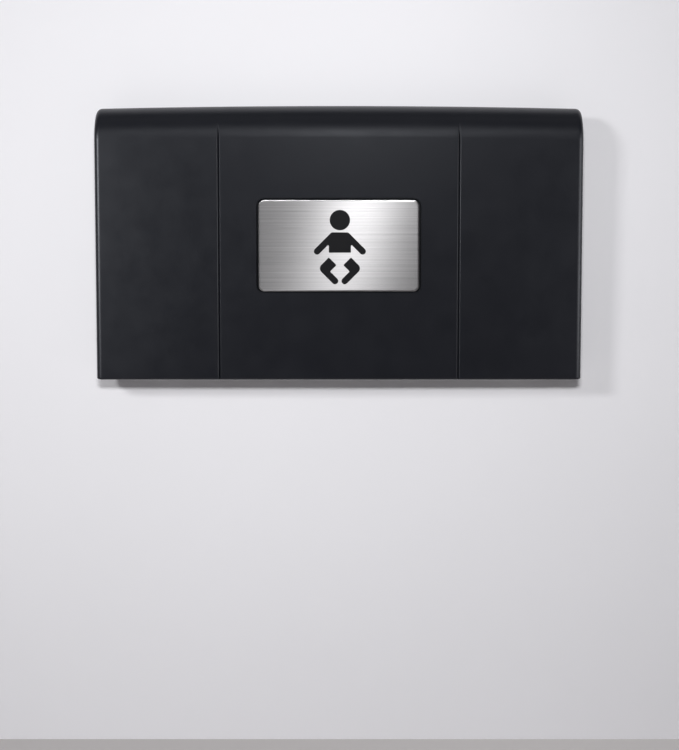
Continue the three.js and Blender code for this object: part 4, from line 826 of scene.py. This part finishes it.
def body_of_node(node):
    bodies = frame["record"]["behaviour"]["bodies"]
    return next(body for body, members in bodies.items() if node in members)


SOFT_EDGES = {
    "back_shell": 0.0012,
    "liner_pocket": 0.0010,
    "buckle_lever": 0.0008,
    "bag_hook_left": 0.0012,
    "bag_hook_right": 0.0012,
}
KEPT_ROUND = (
    "damper_rod", "damper_piston", "damper_gland", "hinge_bush_left", "hinge_bush_right",
    "pin_clip_left", "pin_clip_right", "buckle_pin",
)
SKINNED = ("bed_cover", "bed_tray", "sign_plate", "strap_upper", "strap_lower")


class StationFittings(bpy.types.Operator):
    """Finish the wall unit, the hinges, the damper and the buckle"""

    bl_idname = "station.fittings"
    bl_label = "Fittings"

    def execute(self, context):
        for part in frame["record"]["subparts"]:
            node, slot = part["node"], part["material_slot"]
            if node in KEPT_ROUND:
                paint(frame["nodes"][node], slot)
            elif node not in SKINNED:
                piece = softened(node, SOFT_EDGES.get(node, sizes().metal_edge))
                paint(piece, slot)
                settle(piece, body_of_node(node), slot, node)
        return {"FINISHED"}


# The strap: heights are those of a layer's middle above the basin's floor
FLOOR_Y = Y_BED - BASIN_DEPTH
LAYER = 0.0016
ANCHOR_FROM_EDGE = 0.047
ANCHOR_Z = {"lower": BASIN["low"] + ANCHOR_FROM_EDGE, "upper": BASIN["high"] - ANCHOR_FROM_EDGE}
ANCHOR_FOOT = 0.0025
ANCHOR_BAR = 0.008
ANCHOR_TOP = FIT + ANCHOR_FOOT + ANCHOR_BAR + FIT + LAYER / 2
ANCHOR_REST = 0.005
ANCHOR_SLOPE = 0.016
BUCKLE_LOW = -0.002
BUCKLE_HIGH = 0.042
BUCKLE_BASE = 0.0024
BUCKLE_SLOPE = 0.012
BUCKLE_FOLD = 0.004
BUCKLE_ENTRY = 0.001
SLOT_FROM_LOW = 0.011
SLOT_END = BUCKLE_LOW + SLOT_FROM_LOW
SLOT_RAMP = 0.008
UNDER_LAYER = FIT + LAYER / 2
SECOND_LAYER = UNDER_LAYER + LAYER + FIT
THIRD_LAYER = SECOND_LAYER + LAYER + FIT
BASE_LAYER = BUCKLE_BASE + LAYER + FIT + LAYER / 2
TAIL_LAYER = BASE_LAYER + LAYER + FIT
SEWN_END = 0.046
TAIL_END = 0.062
SELVEDGE = 0.55
FOLD_STEPS = 14
BAND_STEPS = 20


def fold_round(z, away, low, high):
    radius = (high - low) / 2
    turns = [-math.pi / 2 + math.pi * i / FOLD_STEPS for i in range(FOLD_STEPS + 1)]
    return [(low + radius + radius * math.sin(t), z + away * radius * math.cos(t)) for t in turns]


def anchor_loop(z, way):
    """From the sewn end over an anchor's bar and back under it; way points from the anchor to the buckle"""
    return [
        (SECOND_LAYER, z + way * SEWN_END),
        (SECOND_LAYER, z + way * (ANCHOR_REST + ANCHOR_SLOPE)),
        (ANCHOR_TOP, z + way * ANCHOR_REST),
        *reversed(fold_round(z - way * ANCHOR_REST, -way, UNDER_LAYER, ANCHOR_TOP)),
    ]


def strap_paths():
    """(height above the basin's floor, z) along each half of the strap"""
    lower = [
        *anchor_loop(ANCHOR_Z["lower"], 1),
        *fold_round(BUCKLE_LOW + BUCKLE_FOLD, 1, UNDER_LAYER, BASE_LAYER),
        (BASE_LAYER, BUCKLE_LOW),
        (SECOND_LAYER, BUCKLE_LOW - BUCKLE_SLOPE),
        (SECOND_LAYER, BUCKLE_LOW - SEWN_END),
    ]
    upper = [
        *anchor_loop(ANCHOR_Z["upper"], -1),
        (UNDER_LAYER, BUCKLE_HIGH + BUCKLE_SLOPE),
        (BASE_LAYER, BUCKLE_HIGH + BUCKLE_ENTRY),
        (BASE_LAYER, SLOT_END + SLOT_RAMP),
        (TAIL_LAYER, SLOT_END),
        (TAIL_LAYER, BUCKLE_LOW),
        (THIRD_LAYER, BUCKLE_LOW - BUCKLE_SLOPE),
        (THIRD_LAYER, BUCKLE_LOW - TAIL_END),
    ]
    return {"strap_lower": lower, "strap_upper": upper}


def eased(path):
    """The path with its corners cut twice, which never leaves the corners' own triangles"""
    points = [Vector(point) for point in path]
    for _ in range(2):
        cut = [points[0]]
        for a, b in zip(points, points[1:]):
            cut += [a.lerp(b, 0.25), a.lerp(b, 0.75)]
        points = cut + [points[-1]]
    return points


def webbing(name, path):
    """A woven band along the path, with selvedges thinner than its middle and UVs in metres"""
    s = sizes()
    points = eased(path)
    across = [i / BAND_STEPS - 0.5 for i in range(BAND_STEPS + 1)]
    half = s.strap_thickness / 2
    section = [(u * s.strap_width, half * (SELVEDGE if abs(u) == 0.5 else 1)) for u in across]
    loop = section + [(x, -h) for x, h in reversed(section)]
    rows, lengths, length = [], [], 0.0
    for i, point in enumerate(points):
        before, after = points[max(i - 1, 0)], points[min(i + 1, len(points) - 1)]
        along = (after - before).normalized()
        normal = Vector((-along.y, along.x))
        if i:
            length += (point - points[i - 1]).length
        lengths.append(length)
        rows.append([
            (x, FLOOR_Y + point.x + normal.x * h, point.y + normal.y * h) for x, h in loop])
    piece = loft(name, rows, "strap_webbing")
    uv = piece.data.uv_layers.new(name="weave")
    lookup = {}
    for row, along in zip(rows, lengths):
        for place in row:
            lookup[tuple(round(value, 6) for value in place)] = (place[0], along)
    for corner in piece.data.loops:
        place = piece.data.vertices[corner.vertex_index].co
        key = tuple(round(value, 6) for value in place)
        uv.data[corner.index].uv = lookup.get(key, (place.x, place.z))
    return made_plain(piece, math.radians(50))


STITCH_LENGTH = 0.0027
STITCH_PITCH = 0.0032
STITCH_LIFT = 0.0007
THREAD = 0.0007
BOX_HALF_WIDTH = 0.0155
BOX_NEAR = 0.026
BOX_FAR = 0.043


def stitch_places():
    """Points of the box stitches that close each fold, with the way each stitch runs"""
    places = []
    y = FLOOR_Y + SECOND_LAYER + STITCH_LIFT
    boxes = (
        (ANCHOR_Z["lower"] + BOX_NEAR, ANCHOR_Z["lower"] + BOX_FAR),
        (BUCKLE_LOW - BOX_FAR, BUCKLE_LOW - BOX_NEAR),
        (ANCHOR_Z["upper"] - BOX_FAR, ANCHOR_Z["upper"] - BOX_NEAR),
    )
    for low, high in boxes:
        sides = ((-1, low), (1, low), (1, high), (-1, high))
        corners = [Vector((side * BOX_HALF_WIDTH, y, z)) for side, z in sides]
        lines = [(corners[i], corners[(i + 1) % 4]) for i in range(4)]
        lines += [(corners[0], corners[2]), (corners[1], corners[3])]
        for start, end in lines:
            count = max(int((end - start).length / STITCH_PITCH), 1)
            for i in range(count):
                places.append((start.lerp(end, (i + 0.5) / count), (end - start).normalized()))
    return places


# Repeated small pieces, set by Geometry Nodes on points that carry a direction
def points_object(name, places):
    mesh = bpy.data.meshes.new(name)
    mesh.from_pydata([tuple(point) for point, _ in places], [], [])
    way = mesh.attributes.new("way", "FLOAT_VECTOR", "POINT")
    way.data.foreach_set("vector", [part for _, direction in places for part in direction])
    return add_object(name, mesh)


class Tree(Nodes):
    """A Geometry Nodes tree that sets one small shape on every point"""

    def __init__(self, name, inputs):
        super().__init__(bpy.data.node_groups.new(name, "GeometryNodeTree"))
        self.new_socket("Geometry", "INPUT", "NodeSocketGeometry")
        self.sockets = {}
        for label, default in inputs.items():
            socket = self.new_socket(label, "INPUT", "NodeSocketFloat")
            socket.subtype = "DISTANCE"
            socket.default_value = default
            self.sockets[label] = socket.identifier
        self.sockets["Material"] = self.new_socket("Material", "INPUT", "NodeSocketMaterial").identifier
        self.new_socket("Geometry", "OUTPUT", "NodeSocketGeometry")
        self.enter = self.add("NodeGroupInput")
        self.leave = self.add("NodeGroupOutput")

    def new_socket(self, label, side, kind):
        return self.tree.interface.new_socket(label, in_out=side, socket_type=kind)

    def scaled(self, label, factor):
        node = self.add("ShaderNodeMath", operation="MULTIPLY")
        self.link(self.enter.outputs[label], node.inputs[0])
        node.inputs[1].default_value = factor
        return node.outputs["Value"]

    def vector(self, **parts):
        return self.feed(self.add("ShaderNodeCombineXYZ"), **parts).outputs["Vector"]

    def transformed(self, geometry, **changes):
        node = self.add("GeometryNodeTransform")
        return self.feed(node, Geometry=geometry, **changes).outputs["Geometry"]

    def set_on_points(self, shape):
        way = self.add("GeometryNodeInputNamedAttribute", data_type="FLOAT_VECTOR")
        self.feed(way, Name="way")
        align = self.add("FunctionNodeAlignRotationToVector", axis="Z")
        turn = self.feed(align, Vector=way.outputs["Attribute"]).outputs["Rotation"]
        instance = self.add("GeometryNodeInstanceOnPoints")
        self.feed(instance, Points=self.enter.outputs["Geometry"], Instance=shape, Rotation=turn)
        realize = self.add("GeometryNodeRealizeInstances")
        self.feed(realize, Geometry=instance.outputs["Instances"])
        painted = self.add("GeometryNodeSetMaterial")
        self.feed(painted, Geometry=realize.outputs["Geometry"], Material=self.enter.outputs["Material"])
        self.feed(self.leave, Geometry=painted.outputs["Geometry"])

    def apply(self, piece, material, **values):
        modifier = piece.modifiers.new(self.tree.name, "NODES")
        modifier.node_group = self.tree
        modifier[self.sockets["Material"]] = material
        for label, value in values.items():
            modifier[self.sockets[label]] = value
        return made_plain(piece, math.radians(40))


def screw_tree():
    """A pan-head screw of a flange, a domed head and a cross recess, all in shares of its radius"""
    rim, crown = 0.93, 0.62
    flange_height, dome_height, overlap = 0.22, 0.26, 0.005
    recess_length, recess_width, recess_depth = 0.95, 0.20, 0.5
    sides = 28
    tree = Tree("pan_head_screw", {"Radius": 0.004})

    def share(factor):
        return tree.scaled("Radius", factor)

    def cone(bottom, top, height, segments):
        node = tree.add("GeometryNodeMeshCone", fill_type="NGON")
        tree.feed(node, Vertices=sides, Side_Segments=segments, Depth=share(height))
        tree.feed(node, Radius_Bottom=share(bottom), Radius_Top=share(top))
        return node.outputs["Mesh"]

    def raised(geometry, height):
        return tree.transformed(geometry, Translation=tree.vector(Z=share(height)))

    head = tree.add("GeometryNodeJoinGeometry")
    tree.feed(head, Geometry=cone(1, rim, flange_height, 1))
    tree.feed(head, Geometry=raised(cone(rim, crown, dome_height, 2), flange_height - overlap))
    recess = tree.add("GeometryNodeMeshBoolean", operation="DIFFERENCE", solver="EXACT")
    tree.feed(recess, Mesh_1=head.outputs["Geometry"])
    for along, across in ((recess_length, recess_width), (recess_width, recess_length)):
        size = tree.vector(X=share(along), Y=share(across), Z=share(recess_depth))
        bar = tree.feed(tree.add("GeometryNodeMeshCube"), Size=size)
        tree.feed(recess, Mesh_2=raised(bar.outputs["Mesh"], recess_depth))
    tree.set_on_points(recess.outputs["Mesh"])
    return tree


def stitch_tree():
    """A stitch: a short thick thread, sunk at both ends"""
    tree = Tree("lock_stitch", {"Length": STITCH_LENGTH, "Thread": THREAD})
    ball = tree.feed(tree.add("GeometryNodeMeshUVSphere"), Segments=8, Rings=6, Radius=0.5)
    thread = tree.enter.outputs["Thread"]
    size = tree.vector(X=thread, Y=thread, Z=tree.enter.outputs["Length"])
    tree.set_on_points(tree.transformed(ball.outputs["Mesh"], Scale=size))
    return tree


class StationStrap(bpy.types.Operator):
    """Weave the two halves of the safety strap and stitch their folds"""

    bl_idname = "station.strap"
    bl_label = "Safety strap"

    def execute(self, context):
        for node, path in strap_paths().items():
            settle(webbing(node + "_woven", path), "bed", "strap_webbing", node)
        stitches = points_object("strap_stitches", stitch_places())
        webbing_finish = finish_named("strap_webbing")
        stitch_tree().apply(stitches, webbing_finish, Length=STITCH_LENGTH, Thread=THREAD)
        settle(stitches, "bed", "strap_webbing")
        return {"FINISHED"}


TRAY_SCREW_X = 0.422
TRAY_SCREW_STEP = 0.150
ANCHOR_SCREW_X = 0.0312
HOOK_SCREW_X = 0.360
HOOK_SCREW_ROWS = (0.065, 0.084)
HOOK_PLATE = 0.005
BRACKET_SCREW_X = 0.415
BRACKET_SCREW_ROWS = (-0.185, -0.173)
BRACKET_FOOT = 0.004


def screw_places():
    """Screw heads on each body: (point under the head, way that it faces)"""
    tray_rows = (-TRAY_SCREW_STEP, 0, TRAY_SCREW_STEP)
    foot_top = FLOOR_Y + FIT + ANCHOR_FOOT
    bed = [(side * TRAY_SCREW_X, Y_BED, z) for side in (-1, 1) for z in tray_rows]
    bed += [(side * ANCHOR_SCREW_X, foot_top, z) for side in (-1, 1) for z in ANCHOR_Z.values()]
    hook_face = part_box("bag_hook_left")[1].y - HOOK_PLATE
    foot_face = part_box("damper_bracket")[1].y - BRACKET_FOOT
    wall = [(side * HOOK_SCREW_X, hook_face, z) for side in (-1, 1) for z in HOOK_SCREW_ROWS]
    wall += [(BRACKET_SCREW_X, foot_face, z) for z in BRACKET_SCREW_ROWS]
    inwards, outwards = (0, 1, 0), (0, -1, 0)
    return {
        "bed": [(point, inwards) for point in bed],
        "wall_unit": [(point, outwards) for point in wall],
    }


class StationScrews(bpy.types.Operator):
    """Set the screw heads of the tray, the anchors, the hooks and the damper's bracket"""

    bl_idname = "station.screws"
    bl_label = "Screws"

    def execute(self, context):
        tree = screw_tree()
        for body, places in screw_places().items():
            screws = points_object(body + "_screws", places)
            tree.apply(screws, finish_named("hook_steel"), Radius=sizes().screw_radius)
            settle(screws, body, "hook_steel")
        return {"FINISHED"}


# Stage
WALL_TOP = 2.4
WALL_BEHIND = 0.001
STAGE_REACH = 4.0
WORLD_COLOUR = (0.93, 0.95, 1, 1)
WORLD_STRENGTH = 0.07
SENSOR_WIDTH = 36
MIDDLE = (0, -0.05, 0)
UPPER_WALL = (0.12, 0, 0.5)


def box_corners(low, high):
    return (-STAGE_REACH, low), (STAGE_REACH, low), (STAGE_REACH, high), (-STAGE_REACH, high)


def add_plane(name, corners, facing):
    """A stage plane that is seen from the side it faces only, so that back and underside show too"""
    piece = new_object(name, corners, [(0, 1, 2, 3)], name)
    if piece.data.polygons[0].normal.dot(Vector(facing)) < 0:
        piece.data.flip_normals()
    one_sided(finish_named(name))
    return piece


def one_sided(material):
    nodes = Nodes(material.node_tree)
    kept = nodes.tree.nodes
    mix = nodes.add("ShaderNodeMixShader")
    nodes.feed(mix, Fac=nodes.add("ShaderNodeNewGeometry").outputs["Backfacing"])
    nodes.link(kept["Principled BSDF"].outputs["BSDF"], mix.inputs[1])
    nodes.link(nodes.add("ShaderNodeBsdfTransparent").outputs["BSDF"], mix.inputs[2])
    nodes.feed(kept["Material Output"], Surface=mix.outputs["Shader"])


def add_light(name, place, width, height, power, target=MIDDLE):
    data = bpy.data.lights.new(name, "AREA")
    data.shape = "RECTANGLE"
    data.size = width
    data.size_y = height
    data.energy = power
    light = add_object(name, data)
    light.location = place
    light.rotation_euler = (Vector(target) - Vector(place)).to_track_quat("-Z", "Y").to_euler()
    light.visible_camera = False
    return light


def set_reach(lights, state, *pieces):
    """Lets lights reach the pieces alone (INCLUDE) or everything but the pieces (EXCLUDE)"""
    for light in lights:
        reach = bpy.data.collections.new(light.name + "_reach")
        for piece in pieces:
            reach.objects.link(piece)
        for member in reach.collection_objects:
            member.light_linking.link_state = state
        light.light_linking.receiver_collection = reach


def light_station(wall):
    """Lights the body, the sign plate and the wall by lights of their own"""
    plate = bpy.data.objects["sign_plate_brushed"]
    body_lights = (
        add_light("key_softbox", (-2.0, -2.1, 0.42), 0.7, 0.7, 38),
        add_light("right_softbox", (2.5, -2.0, 0.2), 1.9, 1.0, 22),
        add_light("far_fill", (3.0, -1.2, 0.3), 1.2, 1.2, 8),
        add_light("overhead_softbox", (0, -1.1, 2.2), 3.0, 0.6, 2),
        add_light("front_strip", (0, -2.5, 1.45), 3.0, 0.3, 7),
        add_light("front_softbox", (0.07, -2.5, 0.95), 0.2, 0.5, 5.2),
    )
    plate_lights = (
        add_light("plate_strip", (0, -0.30, 0.62), 0.8, 0.12, 6.5),
        add_light("plate_softbox", (0.225, -2.5, 0.95), 0.2, 0.5, 8.2),
    )
    wall_wash = add_light("wall_wash", (0, -2.6, 0.25), 0.35, 0.2, 17.5, UPPER_WALL)
    wall_wash.data.spread = math.radians(120)
    wall_key = add_light("wall_key", (-1.52, -2.1, 0.45), 0.45, 0.3, 18)
    set_reach(body_lights, "EXCLUDE", plate, wall)
    set_reach(plate_lights, "INCLUDE", plate)
    set_reach((wall_wash, wall_key), "INCLUDE", wall)
    add_light("rear_fill", (0.9, 2.2, 1.0), 1.2, 1.2, 30)


class StationScene(bpy.types.Operator):
    """Set the plain wall and floor, the soft lights and the camera"""

    bl_idname = "station.stage"
    bl_label = "Stage"

    def execute(self, context):
        stage = context.scene.station_stage
        wall_outline = box_corners(stage.floor_z, WALL_TOP)
        wall = add_plane("stage_wall", [(x, WALL_BEHIND, z) for x, z in wall_outline], (0, -1, 0))
        wall.visible_shadow = False
        floor_outline = box_corners(-STAGE_REACH, STAGE_REACH)
        add_plane("stage_floor", [(x, y, stage.floor_z) for x, y in floor_outline], (0, 0, 1))
        light_station(wall)
        world = bpy.data.worlds.new("studio")
        context.scene.world = world
        world.use_nodes = True
        nodes = Nodes(world.node_tree)
        nodes.feed(nodes.tree.nodes["Background"], Color=WORLD_COLOUR, Strength=WORLD_STRENGTH)
        data = bpy.data.cameras.new("camera")
        data.lens = stage.lens
        data.sensor_width = SENSOR_WIDTH
        camera = add_object("camera", data)
        camera.location = (stage.camera_side, -stage.camera_distance, stage.camera_height)
        camera.rotation_euler = (math.pi / 2, 0, 0)
        context.scene.camera = camera
        context.scene.view_settings.view_transform = "Standard"
        return {"FINISHED"}


OPERATORS = (
    StationCover, StationPlate, StationTray, StationFittings, StationStrap, StationScrews, StationScene)
GROUPS = {
    "station_sizes": StationSizes,
    "station_colours": StationColours,
    "station_stage": StationStage,
}


class StationPanel(bpy.types.Panel):
    """Lists the steps that build the station's looks"""

    bl_idname = "VIEW3D_PT_station"
    bl_label = "Changing Station"
    bl_space_type = "VIEW_3D"
    bl_region_type = "UI"
    bl_category = "Station"

    def draw(self, context):
        for operator in OPERATORS:
            self.layout.operator(operator.bl_idname)
        for group, kind in GROUPS.items():
            box = self.layout.box()
            for name in kind.__annotations__:
                box.prop(getattr(context.scene, group), name)


def register():
    for kind in (*GROUPS.values(), *OPERATORS, StationPanel):
        bpy.utils.register_class(kind)
    for name, kind in GROUPS.items():
        setattr(bpy.types.Scene, name, PointerProperty(type=kind))


def unregister():
    for name in GROUPS:
        delattr(bpy.types.Scene, name)
    for kind in (StationPanel, *reversed(OPERATORS), *GROUPS.values()):
        bpy.utils.unregister_class(kind)


def main():
    register()
    bpy.ops.station.cover()
    bpy.ops.station.plate()
    bpy.ops.station.tray()
    bpy.ops.station.fittings()
    bpy.ops.station.strap()
    bpy.ops.station.screws()
    bpy.ops.station.stage()


if __name__ == "__main__":
    main()
